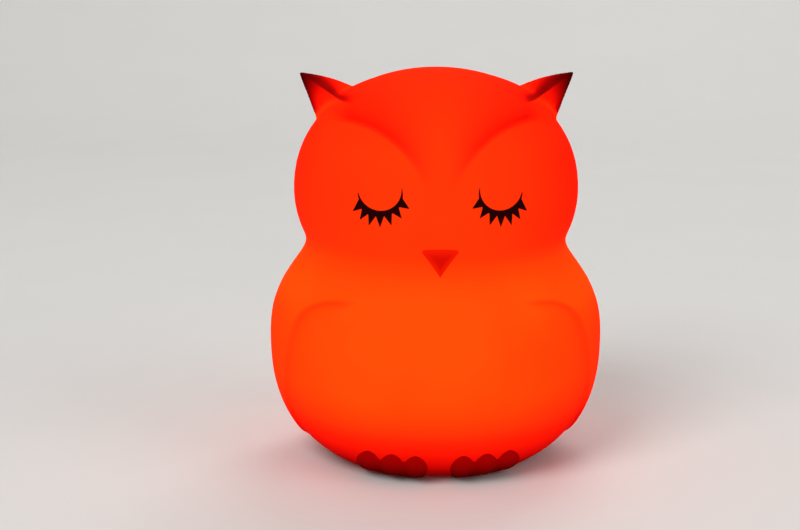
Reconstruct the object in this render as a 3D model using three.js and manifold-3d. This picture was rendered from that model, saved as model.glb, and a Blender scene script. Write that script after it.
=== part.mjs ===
// Owl night light: a cordless colour lamp, a soft silicone owl pulled over a plastic base module.
// Millimetres, +Z up, the owl faces -Y. The origin lies on the table under the middle of the base.

import * as THREE from 'three';
import { mergeVertices } from 'three/addons/utils/BufferGeometryUtils.js';
import Module from 'manifold-3d';

const wasm = await Module();
wasm.setup();

// Body lobe: half sizes of an ellipse in plan, and how far the lobe reaches up and down
const bodyHalfWidth = 66;
const bodyHalfDepth = 61.4;
const bodyCentreHeight = 50.3;
const bodyRise = 43.6;
const bodyDrop = 57.1;
const bodyRisePower = 2.44;
const bodyDropPower = 2.45;

// Head lobe, blended into the body lobe with a soft neck
const headHalfWidth = 56.9;
const headHalfDepth = 52.9;
const headCentreHeight = 110.2;
const headRise = 47.6;
const headDrop = 44.6;
const headPower = 2.08;
const blendPower = 5.66;

// The chin hangs lower in front than the neck does at the sides
const chinDrop = 4;
const neckHeight = 90;
const neckSpread = 28;

// Silicone wall and the flat rim that it stands on
const wall = 3;
const rimHeight = 0.8;
const skinStart = -3;
const skinRings = 27;
const skinSides = 42;
const cavityRings = 14;
const cavitySides = 28;
const profileSteps = 1200;
const slopeShare = 0.001;

// Clearance between touching pieces, the overrun of every cut, and how deep a fading relief dives
const seatGap = 0.3;
const overrun = 5;
const dive = 0.6;

// Brow: the forehead stands proud of two round eye discs
const browHeight = 1.8;
const browRadius = 33.4;
const browOffset = 37.1;
const browCentreHeight = 106.7;
const browFade = 15;
const browStartAngle = 64;
const browFullStartAngle = 86;
const browFullEndAngle = 118;
const browEndAngle = 172;

// Wings: a leaf on each side, seen from the side
const wingHeight = 1.1;
const wingTipHeight = 8.3;
const wingTopHeight = 72.4;
const wingFrontReach = 47;
const wingFadeStart = 70;
const wingFadeEnd = 92;
const wingEndFade = 5;
const wingInset = 25;
const wingSteps = 7;
// Shares of the wing's reach and of its height, from the tip up along one edge
const wingEdgeShares = {
  tipControl: [0.3, 0],
  heel: [0.39, 0.2],
  lowControl: [0.51, 0.35],
  highControl: [0.62, 0.62],
  shoulder: [0.69, 0.8],
  topControl: [0.7, 1],
};

// Ears: three-sided horns with a crest in front
const earTip = [54.2, -4, 156.5];
const earTopCorner = [32.2, 4.9, 150.2];
const earCrestCorner = [34.5, -18.1, 145.6];
const earOuterCorner = [48, -2.6, 137.9];
const earTopBow = 1.05;
const earSinkShare = 0.42;
const earHollowShare = 0.34;
const earSteps = 7;
const earTipShare = 0.035;
const earFacetHollowShare = 0.07;
const earBackCrownShare = 0.1;

// Sleeping eyes: a crescent with seven lashes
const eyeOffset = 23;
const eyeCentreHeight = 117;
const eyeRadius = 8.2;
const lidThickness = 1.9;
const lidEndThickness = 0.35;
const lidSweep = 172;
const lidSteps = 12;
const lidTaperPower = 0.8;
const lashReach = 5.1;
const lashHalfBase = 1.1;
const lashRootShare = 0.9;
const lashClearShare = 1.5;
const lashAngles = [49, 32, 16, -1, -19, -39, -61];
const lashRise = 0.6;

// Beak: a low inverted pyramid with soft corners
const beakHalfWidth = 7.8;
const beakTopHeight = 94;
const beakHeight = 11;
const beakCornerRadius = 1.3;
const beakCornerSteps = 3;
const beakReach = 4.2;
const beakSink = 5;
// Share of the full outline, and share of the reach still behind the peak
const beakLevelShares = [[1, 0.75], [0.7, 0.3], [0.3, 0]];

// Toes: three pillows a foot on the lower front, joined by a low web
const toeOffsets = [9.1, 18.3, 27.4];
const toeHalfWidth = 4.9;
const toeHalfHeight = 9.6;
const toeCentreHeight = 4.4;
const toeRise = 2.7;
const webRise = 2.1;
const webTopHeight = 9.4;
const webFade = 2;
const footTurns = [-88, -46];
const footTopHeight = 16;
const footColumns = 20;
const footRows = 9;

// Lip of the skin and the disc cover set into it
const lipTop = 6.2;
const coverRadius = 34;
const coverBottom = 1.2;
const coverThickness = 2.6;
const coverChamfer = 0.65;
const roundSides = 32;

// Base housing: a drum with a narrower neck that passes through the lip
const neckOuterRadius = 30.6;
const drumOuterRadius = 36;
const housingWall = 2;
const deckTop = 34;
const drumChamfer = 1.5;

// Cover screws and the posts they bite into
const coverScrewCircle = 25.8;
const coverScrewCount = 4;
const screwPostRadius = 3.2;
const screwShankRadius = 1.2;
const screwHeadRadius = 2.6;
const screwHeadHeight = 1.2;
const coverScrewLength = 11;
const screwSides = 10;
const crossArm = 1.6;
const crossWidth = 0.65;
const crossDepth = 0.6;

// Rubber pads
const padCircle = 28.3;
const padCount = 4;
const padRadius = 4.5;
const padPocketDepth = 0.8;
const padSides = 16;

// Rear panel: a moulded recess in the skin with a bezel that clamps its floor
const panelHeight = 23;
const recessWidth = 31;
const recessHeight = 15;
const recessCorner = 5;
const recessDepth = 6;
const recessFloorThickness = 2.5;
const bezelWidth = 27;
const bezelHeight = 11.4;
const bezelCorner = 4.4;
const bezelThickness = 1.2;
const bezelWall = 1.2;
const bezelNeckWidth = 23.4;
const bezelNeckHeight = 8.8;
const bezelNeckCorner = 3.2;
const bezelNeckLength = 3.8;
const portWall = 1.8;
const cornerSteps = 3;

// Charging socket, press button and charge light, side by side in the bezel
const usbOffset = -5.6;
const usbWidth = 8.9;
const usbHeight = 3.2;
const usbLength = 8;
const usbCorner = 1.5;
const usbShell = 0.35;
const usbTongueWidth = 6.8;
const usbTongueHeight = 0.7;
const usbTongueSetback = 0.7;
const usbDepth = 6;
const buttonOffset = 6.6;
const buttonRadius = 2.6;
const buttonProud = 1;
const buttonTravel = 0.8;
const buttonFlangeWidth = 7.2;
const buttonFlangeHeight = 5.6;
const buttonFlangeCorner = 1.4;
const buttonFlangeThickness = 1;
const buttonDomeShare = 0.8;
const buttonStemRadius = 1.2;
const lightOffset = 1.4;
const lightRadius = 0.9;
const lightCollarRadius = 1.3;
const lightCollarLength = 1;
const lightLength = 5.4;

// Port board in the housing's rear boss
const portBoardWidth = 20;
const portBoardLength = 11;
const boardThickness = 1.6;
const portSwitchWidth = 6;
const portSwitchHeight = 4;
const portSwitchLength = 3.6;
const plungerRadius = 0.9;
const plungerLength = 0.8;
const chargeLedSize = [1.6, 1.2, 0.8];

// Control board and what stands on it
const controlBoardRadius = 27.4;
const controlBoardBottom = 9.2;
const boardPostPlace = 21;
const boardPostRadius = 2.6;
const boardScrewLength = 7;
const mcuPlace = [-6, 5];
const mcuSize = [7, 7, 1.2];
const chargePlace = [7, 8];
const chargeSize = [4.2, 4.2, 1];
const inductorPlace = [11, -5];
const inductorSize = [6, 6, 3];
const capacitorPlace = [-12, -8];
const capacitorRadius = 3.1;
const capacitorHeight = 7.7;
const sensorPlace = [9.5, -19.5];
const sensorRadius = 2.5;
const sensorHeight = 9;

// Power switch under the control board, worked from below
const switchPlace = [0, -9];
const switchSize = [9, 4.4, 3.6];
const knobTravel = 3;
const knobLength = 3;
const knobWidth = 2.4;
const knobCorner = 0.4;
const knobBottom = 0.5;
const grooveWidth = 0.4;
const groovePlaces = [-0.6, 0.6];
const knobPlateLength = 11;
const knobPlateWidth = 4.2;
const knobPlateThickness = 0.6;
const dishLength = 15;
const dishWidth = 8;
const dishCorner = 3.7;
const dishDepth = 0.7;

// Lithium cell, taped under the deck
const cellSize = [42, 28, 9];
const cellCorner = 2.5;
const tapeThickness = 0.8;
const tapeSize = [34, 20];
const leadRadius = 0.6;
const leadPlaces = [2.6, 5.4];
const leadSteps = 9;
const leadSides = 4;
const leadBulge = 6.5;
const plugSize = [7, 7.5, 5.6];
const plugPlace = [-20.4, 4];

// LED board on posts above the deck, under a diffuser dome
const ledBoardRadius = 17;
const ledPostPlace = 13;
const ledPostRadius = 2.5;
const ledPostHeight = 2.5;
const ledCount = 6;
const ledCircle = 11.5;
const ledSize = 5;
const ledHeight = 1.6;
const ledScrewLength = 3.2;
const domeRadius = 22;
const domeWall = 1.4;
const domeHeight = 18;
const domeFlangeRadius = 24.5;
const domeFlangeThickness = 1.5;
const domeRingWidth = 1.4;
const domeSteps = 5;
const domeRoundPower = 0.8;

// Ribbon cables and their connectors
const ribbonThickness = 0.8;
const ribbonClearance = 0.6;
// Shares of the way to the port board where the ribbon's rise starts, is halfway and ends
const portRiseShares = [0.2, 0.34, 0.46];
const portRibbonWidth = 4;
const portConnectorPlace = [7.4, 19.4];
const portConnectorSize = [5.6, 3.6, 2.6];
const ledRibbonWidth = 4.4;
const ledRibbonLean = 2;
const ledConnectorPlace = [7.2, 15.2];
const ledConnectorSize = [5.6, 3, 2.6];
const ribbonSteps = 8;

// Sizes that follow from the stack
const coverTop = coverBottom + coverThickness;
const neckInnerRadius = neckOuterRadius - housingWall;
const drumInnerRadius = drumOuterRadius - housingWall;
const drumBottom = lipTop + seatGap;
const deckBottom = deckTop - housingWall;
const boardTop = controlBoardBottom + boardThickness;
const componentBase = boardTop + seatGap;
const cellTop = deckBottom - tapeThickness - 2 * seatGap;
const cellBottom = cellTop - cellSize[2];
const ledBoardBottom = deckTop + ledPostHeight + seatGap;
const ledBoardTop = ledBoardBottom + boardThickness;
const beakTipHeight = beakTopHeight - beakHeight;
const portBoardTop = panelHeight - usbHeight / 2 - seatGap;

// Geometry helpers

// One closed mesh with shared corners and no collapsed triangles
function closed(geometry) {
  const bare = geometry.clone();
  bare.deleteAttribute('normal');
  bare.deleteAttribute('uv');
  const merged = mergeVertices(bare);
  const kept = [];
  const index = merged.index.array;
  for (let i = 0; i < index.length; i += 3) {
    const [a, b, c] = [index[i], index[i + 1], index[i + 2]];
    if (a !== b && b !== c && c !== a) kept.push(a, b, c);
  }
  merged.setIndex(kept);
  return merged;
}

function signedVolume(geometry) {
  const place = geometry.attributes.position;
  const index = geometry.index.array;
  const [a, b, c] = [new THREE.Vector3(), new THREE.Vector3(), new THREE.Vector3()];
  let total = 0;
  for (let i = 0; i < index.length; i += 3) {
    a.fromBufferAttribute(place, index[i]);
    b.fromBufferAttribute(place, index[i + 1]);
    c.fromBufferAttribute(place, index[i + 2]);
    total += a.dot(b.cross(c));
  }
  return total;
}

// Faces turned outwards, whichever way the profile or the rings ran
function outward(geometry) {
  const made = closed(geometry);
  if (signedVolume(made) < 0) {
    const index = Array.from(made.index.array);
    for (let i = 0; i < index.length; i += 3) {
      [index[i], index[i + 1]] = [index[i + 1], index[i]];
    }
    made.setIndex(index);
  }
  return made;
}

function solid(geometry) {
  const made = outward(geometry);
  return new wasm.Manifold(new wasm.Mesh({
    numProp: 3,
    vertProperties: new Float32Array(made.attributes.position.array),
    triVerts: new Uint32Array(made.index.array),
  }));
}

function geometryOf(shape) {
  const mesh = shape.getMesh();
  const geometry = new THREE.BufferGeometry();
  geometry.setAttribute('position', new THREE.BufferAttribute(mesh.vertProperties, mesh.numProp));
  geometry.setIndex(new THREE.BufferAttribute(mesh.triVerts, 1));
  return geometry;
}

const joined = (first, ...rest) => rest.reduce((sum, next) => sum.add(next), first);
const cut = (first, ...rest) => rest.reduce((sum, next) => sum.subtract(next), first);

// A closed loft: rings of equal length, each end closed by a fan to its own middle
function loft(rings) {
  const sides = rings[0].length;
  const corners = rings.flat();
  const index = [];
  for (let ring = 0; ring + 1 < rings.length; ring += 1) {
    for (let side = 0; side < sides; side += 1) {
      const next = (side + 1) % sides;
      const [a, b] = [ring * sides + side, ring * sides + next];
      const [c, d] = [a + sides, b + sides];
      index.push(a, b, d, a, d, c);
    }
  }
  const ends = [[0, true], [rings.length - 1, false]];
  for (const [ring, first] of ends) {
    const middle = new THREE.Vector3();
    rings[ring].forEach((corner) => middle.addScaledVector(corner, 1 / sides));
    corners.push(middle);
    for (let side = 0; side < sides; side += 1) {
      const [a, b] = [ring * sides + side, ring * sides + (side + 1) % sides];
      if (first) index.push(corners.length - 1, b, a);
      else index.push(corners.length - 1, a, b);
    }
  }
  const geometry = new THREE.BufferGeometry().setFromPoints(corners);
  geometry.setIndex(index);
  return geometry;
}

function roundedRectangle(width, height, corner) {
  const [x, y] = [width / 2 - corner, height / 2 - corner];
  const shape = new THREE.Shape();
  shape.absarc(x, -y, corner, -Math.PI / 2, 0);
  shape.absarc(x, y, corner, 0, Math.PI / 2);
  shape.absarc(-x, y, corner, Math.PI / 2, Math.PI);
  shape.absarc(-x, -y, corner, Math.PI, 1.5 * Math.PI);
  shape.closePath();
  return shape;
}

function disc(radius) {
  const shape = new THREE.Shape();
  shape.absarc(0, 0, radius, 0, 2 * Math.PI);
  return shape;
}

function extruded(shape, depth, steps) {
  return new THREE.ExtrudeGeometry(shape, { depth, bevelEnabled: false, curveSegments: steps });
}

// A shape drawn in plan, standing from one height to another
function upright(shape, low, high, steps) {
  return extruded(shape, high - low, steps).translate(0, 0, low);
}

// A shape drawn as seen from the front (x, z), reaching from one depth to another along Y
function frontways(shape, near, far, steps) {
  return extruded(shape, far - near, steps).rotateX(Math.PI / 2).translate(0, far, 0);
}

// A shape drawn as seen from the side (y, z), reaching from one width to another along X
function sideways(shape, near, far, steps) {
  const turn = new THREE.Matrix4().makeBasis(
    new THREE.Vector3(0, 1, 0),
    new THREE.Vector3(0, 0, 1),
    new THREE.Vector3(1, 0, 0),
  );
  return extruded(shape, far - near, steps).applyMatrix4(turn).translate(near, 0, 0);
}

function block(low, high) {
  const size = high.map((value, axis) => value - low[axis]);
  const middle = high.map((value, axis) => (value + low[axis]) / 2);
  return new THREE.BoxGeometry(...size).translate(...middle);
}

// A box on a board: its size, the middle of its footprint and the height of its underside
function standing(size, place, base) {
  return new THREE.BoxGeometry(...size).translate(place[0], place[1], base + size[2] / 2);
}

function post(radius, place, low, high, sides) {
  return upright(disc(radius), low, high, sides / 2).translate(place[0], place[1], 0);
}

// A profile of [radius, height] pairs turned about Z
function turned(profile, sides) {
  const points = profile.map(([radius, height]) => new THREE.Vector2(radius, height));
  return new THREE.LatheGeometry(points, sides).rotateX(Math.PI / 2);
}

const ringPlaces = (count, radius, start) => Array.from({ length: count }, (_, step) => {
  const angle = start + (2 * Math.PI * step) / count;
  return [radius * Math.cos(angle), radius * Math.sin(angle)];
});

const smooth = (value) => {
  const share = Math.min(Math.max(value, 0), 1);
  return share * share * (3 - 2 * share);
};

const mirrored = (geometry) => outward(geometry.clone().scale(-1, 1, 1));

// Outer form of the owl

function lobe(height, centre, rise, drop, risePower, dropPower) {
  const above = height > centre;
  const power = above ? risePower : dropPower;
  const share = Math.min(Math.abs(height - centre) / (above ? rise : drop), 1);
  return (1 - share ** power) ** (1 / power);
}

// Half width and half depth of the plan section at a height
function halfSizes(height) {
  const body = lobe(height, bodyCentreHeight, bodyRise, bodyDrop, bodyRisePower, bodyDropPower);
  const head = lobe(height, headCentreHeight, headRise, headDrop, headPower, headPower);
  const blend = (a, b) => (a ** blendPower + b ** blendPower) ** (1 / blendPower);
  return [
    blend(bodyHalfWidth * body, headHalfWidth * head),
    blend(bodyHalfDepth * body, headHalfDepth * head),
  ];
}

const skinTop = headCentreHeight + headRise;
const slopeStep = wall * slopeShare;

// A point of the skin, moved out along its normal, with the chin lowered in front
function skinPoint(height, turn, offset) {
  const [width, depth] = halfSizes(height);
  const [widthAbove, depthAbove] = halfSizes(height + slopeStep);
  const [widthBelow, depthBelow] = halfSizes(height - slopeStep);
  const widthSlope = (widthAbove - widthBelow) / (2 * slopeStep);
  const depthSlope = (depthAbove - depthBelow) / (2 * slopeStep);
  const [along, across] = [Math.cos(turn), Math.sin(turn)];
  const point = new THREE.Vector3(width * along, depth * across, height);
  const normal = new THREE.Vector3(
    depth * along,
    width * across,
    -(width * depthSlope * across * across + depth * widthSlope * along * along),
  ).normalize();
  point.addScaledVector(normal, typeof offset === 'function' ? offset(point) : offset);
  const hang = Math.exp(-(((point.z - neckHeight) / neckSpread) ** 2));
  point.z += chinDrop * (point.y / bodyHalfDepth) * hang;
  return point;
}

// Heights that split the profile into stretches of equal length
function ringHeights(count) {
  const heights = [];
  const lengths = [0];
  for (let step = 0; step <= profileSteps; step += 1) {
    const share = (1 - Math.cos((Math.PI * step) / profileSteps)) / 2;
    heights.push(skinStart + (skinTop - skinStart) * share);
    if (step > 0) {
      const rise = heights[step] - heights[step - 1];
      const reach = halfSizes(heights[step])[0] - halfSizes(heights[step - 1])[0];
      lengths.push(lengths[step - 1] + Math.hypot(rise, reach));
    }
  }
  return Array.from({ length: count }, (_, ring) => {
    const wanted = (lengths[profileSteps] * ring) / count;
    return heights[lengths.findIndex((length) => length >= wanted)];
  });
}

// The owl's form as a closed solid, moved out by an offset that may vary over it
function form(offset, rings = skinRings, sides = skinSides) {
  const grid = ringHeights(rings).map((height) => Array.from({ length: sides }, (_, side) => (
    skinPoint(height, (2 * Math.PI * side) / sides, offset)
  )));
  const crown = skinPoint(skinTop - slopeStep, 0, offset);
  const top = Array.from({ length: sides }, () => new THREE.Vector3(0, 0, crown.z));
  return solid(loft([...grid, top]));
}

const aboveHeight = (height) => solid(block(
  [-bodyHalfWidth * 2, -bodyHalfWidth * 2, height],
  [bodyHalfWidth * 2, bodyHalfWidth * 2, skinTop + bodyHalfWidth],
));

// Brow relief: highest at the rim of the eye discs, fading upwards and at both ends
function browOffsetAt(point) {
  const across = Math.abs(point.x) - browOffset;
  const up = point.z - browCentreHeight;
  const out = Math.max(Math.hypot(across, up) - browRadius, 0);
  const angle = THREE.MathUtils.radToDeg(Math.atan2(up, across));
  const turn = angle < 0 ? angle + 360 : angle;
  const start = smooth((turn - browStartAngle) / (browFullStartAngle - browStartAngle));
  const end = smooth((browEndAngle - turn) / (browEndAngle - browFullEndAngle));
  const share = Math.exp(-((out / browFade) ** 2)) * start * end;
  return browHeight * share - dive * (1 - share);
}

function brow() {
  const near = -headHalfDepth - overrun;
  const front = solid(block(
    [-headHalfWidth, near, neckHeight],
    [headHalfWidth, -overrun, skinTop + overrun],
  ));
  const discs = [-browOffset, browOffset].map((x) => solid(
    frontways(disc(browRadius), near - overrun, 0, skinSides).translate(x, 0, browCentreHeight),
  ));
  return cut(form(browOffsetAt).intersect(front), ...discs);
}

// Wing relief: full height over the flank, fading into the shoulder and at the front end of its line
function wingOffsetAt(point) {
  const up = smooth((wingFadeEnd - point.z) / (wingFadeEnd - wingFadeStart));
  const end = smooth((wingFrontReach + seatGap - Math.abs(point.y)) / wingEndFade);
  const share = up * end;
  return wingHeight * share - dive * (1 - share);
}

function wingOutline() {
  const rise = wingTopHeight - wingTipHeight;
  const at = ([reachShare, riseShare], side) => [
    side * reachShare * wingFrontReach,
    wingTipHeight + riseShare * rise,
  ];
  const edge = wingEdgeShares;
  const shape = new THREE.Shape();
  shape.moveTo(0, wingTipHeight);
  shape.quadraticCurveTo(...at(edge.tipControl, -1), ...at(edge.heel, -1));
  shape.bezierCurveTo(...at(edge.lowControl, -1), ...at(edge.highControl, -1), ...at(edge.shoulder, -1));
  shape.quadraticCurveTo(...at(edge.topControl, -1), -wingFrontReach, wingTopHeight);
  shape.lineTo(-wingFrontReach, wingFadeEnd);
  shape.lineTo(wingFrontReach, wingFadeEnd);
  shape.lineTo(wingFrontReach, wingTopHeight);
  shape.quadraticCurveTo(...at(edge.topControl, 1), ...at(edge.shoulder, 1));
  shape.bezierCurveTo(...at(edge.highControl, 1), ...at(edge.lowControl, 1), ...at(edge.heel, 1));
  shape.quadraticCurveTo(...at(edge.tipControl, 1), 0, wingTipHeight);
  return shape;
}

function wings() {
  const relief = form(wingOffsetAt);
  const flank = sideways(wingOutline(), wingInset, bodyHalfWidth + overrun, wingSteps);
  return [relief.intersect(solid(flank)), relief.intersect(solid(mirrored(flank)))];
}

// An ear, its top edge bowed upwards, pulled in by an inset for the hollow inside it
function ear(inset) {
  const [tip, ...corners] = [earTip, earTopCorner, earCrestCorner, earOuterCorner].map((place) => (
    new THREE.Vector3(...place)
  ));
  const middle = corners.reduce((sum, corner) => sum.add(corner), new THREE.Vector3()).divideScalar(3);
  const sideLength = corners[0].distanceTo(corners[1]);
  const inscribed = sideLength / (2 * Math.sqrt(3));
  const reachShare = inset > 0 ? earHollowShare : 1 - earTipShare;
  const crowns = [-earFacetHollowShare, -earFacetHollowShare, earBackCrownShare];
  const rings = Array.from({ length: earSteps }, (_, step) => {
    const along = -earSinkShare + ((reachShare + earSinkShare) * step) / (earSteps - 1);
    const narrowing = Math.max(1 - inset / (inscribed * (1 - along)), earTipShare);
    const centre = middle.clone().lerp(tip, along);
    const ring = corners.map((corner) => corner.clone().lerp(tip, along).sub(centre));
    ring[0].z += 4 * earTopBow * Math.max(along, 0) * (1 - along);
    return ring.flatMap((corner, side) => {
      const next = ring[(side + 1) % ring.length];
      const between = corner.clone().add(next).multiplyScalar((1 + 2 * crowns[side]) / 2);
      return [corner, between].map((point) => point.clone().multiplyScalar(narrowing).add(centre));
    });
  });
  return loft(rings);
}

// A rounded block behind the owl, centred on the rear panel
function panelBlock(width, height, corner, near, far) {
  const shape = roundedRectangle(width, height, corner);
  return solid(frontways(shape, near, far, cornerSteps).translate(0, 0, panelHeight));
}

// The skin: outer form with relief and ears, hollow inside, with a lip below and a recess behind
function owlSkin() {
  const outer = form(0);
  const ears = [ear(0), mirrored(ear(0))].map(solid);
  const earHollows = [ear(wall), mirrored(ear(wall))].map(solid);
  const whole = joined(outer, brow(), ...wings(), ...ears).intersect(aboveHeight(rimHeight));
  const cavity = form(-wall, cavityRings, cavitySides).intersect(aboveHeight(lipTop));
  const opening = post(neckOuterRadius + seatGap, [0, 0], -overrun, lipTop + overrun, roundSides);
  const rebate = post(coverRadius + seatGap, [0, 0], -overrun, coverTop + seatGap, roundSides);
  const shell = cut(whole, cavity, ...earHollows, solid(opening), solid(rebate));
  const far = bodyHalfDepth + overrun;
  const surround = panelBlock(
    recessWidth + 2 * wall,
    recessHeight + 2 * wall,
    recessCorner + wall,
    recessFloorBack,
    far,
  );
  const pocket = panelBlock(recessWidth, recessHeight, recessCorner, recessFloor, far);
  const throat = panelBlock(throatWidth, throatHeight, throatCorner, recessFloorBack - wall, far);
  return cut(shell.add(surround.intersect(outer)), pocket, throat);
}

// Places behind the owl that follow from its back at the height of the panel
const recessFloor = skinPoint(panelHeight, Math.PI / 2, 0).y - recessDepth;
const recessFloorBack = recessFloor - recessFloorThickness;
const throatWidth = bezelNeckWidth + 2 * seatGap;
const throatHeight = bezelNeckHeight + 2 * seatGap;
const throatCorner = bezelNeckCorner + seatGap;
const bezelBack = recessFloor + seatGap;
const bezelFront = bezelBack + bezelThickness;
const bezelNeckBack = bezelBack - bezelNeckLength;
const bossEnd = recessFloorBack - seatGap;
const portBoardEnd = bezelNeckBack - seatGap;
const portBoardStart = portBoardEnd - portBoardLength;
const buttonFront = bezelFront + buttonProud;
const flangeFront = bezelBack - seatGap;

// Sleeping eye, seen from the front: a crescent that thins to both ends, with pointed lashes under it
function lashOutline() {
  const start = THREE.MathUtils.degToRad(270 - lidSweep / 2);
  const sweep = THREE.MathUtils.degToRad(lidSweep);
  const half = (share) => {
    const taper = Math.sin(Math.PI * share) ** lidTaperPower;
    return (lidEndThickness + (lidThickness - lidEndThickness) * taper) / 2;
  };
  const at = (radius, angle) => new THREE.Vector2(
    eyeOffset + radius * Math.cos(angle),
    eyeCentreHeight + radius * Math.sin(angle),
  );
  const lashes = lashAngles.map((angle) => THREE.MathUtils.degToRad(270 + angle)).sort((a, b) => a - b);
  const points = [];
  const halfAngle = lashHalfBase / eyeRadius;
  for (let step = 0; step <= lidSteps; step += 1) {
    const angle = start + (sweep * step) / lidSteps;
    const previous = angle - sweep / lidSteps;
    for (const lash of lashes.filter((place) => place > previous && place <= angle)) {
      const share = (lash - start) / sweep;
      const root = eyeRadius + half(share) * lashRootShare;
      points.push(at(root, lash - halfAngle), at(eyeRadius + lashReach, lash), at(root, lash + halfAngle));
    }
    const crowded = lashes.some((place) => Math.abs(place - angle) < lashClearShare * halfAngle);
    if (!crowded) points.push(at(eyeRadius + half(step / lidSteps), angle));
  }
  for (let step = lidSteps; step >= 0; step -= 1) {
    points.push(at(eyeRadius - half(step / lidSteps), start + (sweep * step) / lidSteps));
  }
  return new THREE.Shape(points);
}

function eyelashes() {
  const prism = solid(frontways(lashOutline(), -headHalfDepth - overrun, -headHalfDepth / 2, lidSteps));
  const front = form(seatGap + lashRise).intersect(prism);
  return geometryOf(front.subtract(form(seatGap)));
}

// Beak: rounded triangles that shrink towards a blunt peak, cut by the skin behind them
function beakOutline(sizeShare) {
  const middle = (beakTopHeight * 2 + beakTipHeight) / 3;
  const radius = beakCornerRadius * sizeShare;
  const corners = [
    [-beakHalfWidth, beakTopHeight],
    [0, beakTipHeight],
    [beakHalfWidth, beakTopHeight],
  ].map(([x, z]) => new THREE.Vector2(x * sizeShare, middle + (z - middle) * sizeShare));
  const points = [];
  corners.forEach((corner, side) => {
    const before = corners[(side + 2) % 3].clone().sub(corner).normalize();
    const after = corners[(side + 1) % 3].clone().sub(corner).normalize();
    for (let step = 0; step <= beakCornerSteps; step += 1) {
      const share = step / beakCornerSteps;
      const start = corner.clone().addScaledVector(before, radius);
      const end = corner.clone().addScaledVector(after, radius);
      const first = start.lerp(corner, share);
      points.push(first.lerp(corner.clone().lerp(end, share), share));
    }
  });
  return points;
}

// Where the middle of the front lies at a height, once the chin has been lowered there
function frontAt(height) {
  const lowered = skinPoint(height, -Math.PI / 2, 0).z;
  return skinPoint(2 * height - lowered, -Math.PI / 2, 0).y;
}

function beak() {
  const levels = beakLevelShares.map(([sizeShare, reachShare]) => (
    [sizeShare, beakReach * (1 - reachShare)]
  ));
  const rings = [[1, -beakSink], ...levels].map(([sizeShare, reach]) => (
    beakOutline(sizeShare).map((point) => (
      new THREE.Vector3(point.x, frontAt(point.y) - reach, point.y)
    ))
  ));
  return geometryOf(solid(loft(rings)).subtract(form(seatGap)));
}

// A closed patch of the form between two turns and two heights, from a depth under it out to an offset
function patch(turns, heights, columns, rows, depth, offset) {
  const between = ([low, high], share) => low + (high - low) * share;
  const layer = (shift) => Array.from({ length: (rows + 1) * (columns + 1) }, (_, step) => {
    const row = Math.floor(step / (columns + 1));
    const column = step % (columns + 1);
    return skinPoint(between(heights, row / rows), between(turns, column / columns), shift);
  });
  const inner = (rows + 1) * (columns + 1);
  const at = (row, column) => row * (columns + 1) + column;
  const index = [];
  const quad = (a, b, c, d) => index.push(a, b, c, a, c, d);
  for (let row = 0; row < rows; row += 1) {
    for (let column = 0; column < columns; column += 1) {
      const [a, b] = [at(row, column), at(row, column + 1)];
      const [c, d] = [at(row + 1, column + 1), at(row + 1, column)];
      quad(a, b, c, d);
      quad(inner + d, inner + c, inner + b, inner + a);
    }
    const [low, high] = [at(row, 0), at(row + 1, 0)];
    quad(low, high, inner + high, inner + low);
    quad(inner + low + columns, inner + high + columns, high + columns, low + columns);
  }
  for (let column = 0; column < columns; column += 1) {
    const [low, high] = [at(0, column), at(rows, column)];
    quad(inner + low, inner + low + 1, low + 1, low);
    quad(high, high + 1, inner + high + 1, inner + high);
  }
  const geometry = new THREE.BufferGeometry().setFromPoints([...layer(offset), ...layer(-depth)]);
  geometry.setIndex(index);
  return geometry;
}

// How far the foot stands off the skin at a point
function toeOffsetAt(point) {
  const up = (point.z - toeCentreHeight) / toeHalfHeight;
  const bumps = toeOffsets.map((x) => {
    const left = 1 - ((point.x - x) / toeHalfWidth) ** 2 - up ** 2;
    return left > 0 ? toeRise * Math.sqrt(left) : -dive;
  });
  const near = smooth((point.x - toeOffsets[0] + toeHalfWidth) / (toeHalfWidth / 2));
  const far = smooth((toeOffsets[2] + toeHalfWidth - point.x) / (toeHalfWidth / 2));
  const share = near * far * smooth((webTopHeight - point.z) / webFade);
  return Math.max(...bumps, webRise * share - dive * (1 - share));
}

// Foot: toe pillows that follow the skin's slope, flat below and cut by the skin behind them
function foot() {
  const turns = footTurns.map((turn) => THREE.MathUtils.degToRad(turn));
  const pillows = solid(patch(turns, [skinStart, footTopHeight], footColumns, footRows, wall, toeOffsetAt));
  return geometryOf(pillows.intersect(aboveHeight(rimHeight)).subtract(form(seatGap)));
}

// Base module

const screwPlaces = ringPlaces(coverScrewCount, coverScrewCircle, Math.PI / 4);
const padPlaces = ringPlaces(padCount, padCircle, 0);
const boardPosts = [[0, -boardPostPlace], [0, boardPostPlace]];
const ledPosts = [[0, -ledPostPlace], [0, ledPostPlace]];

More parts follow.
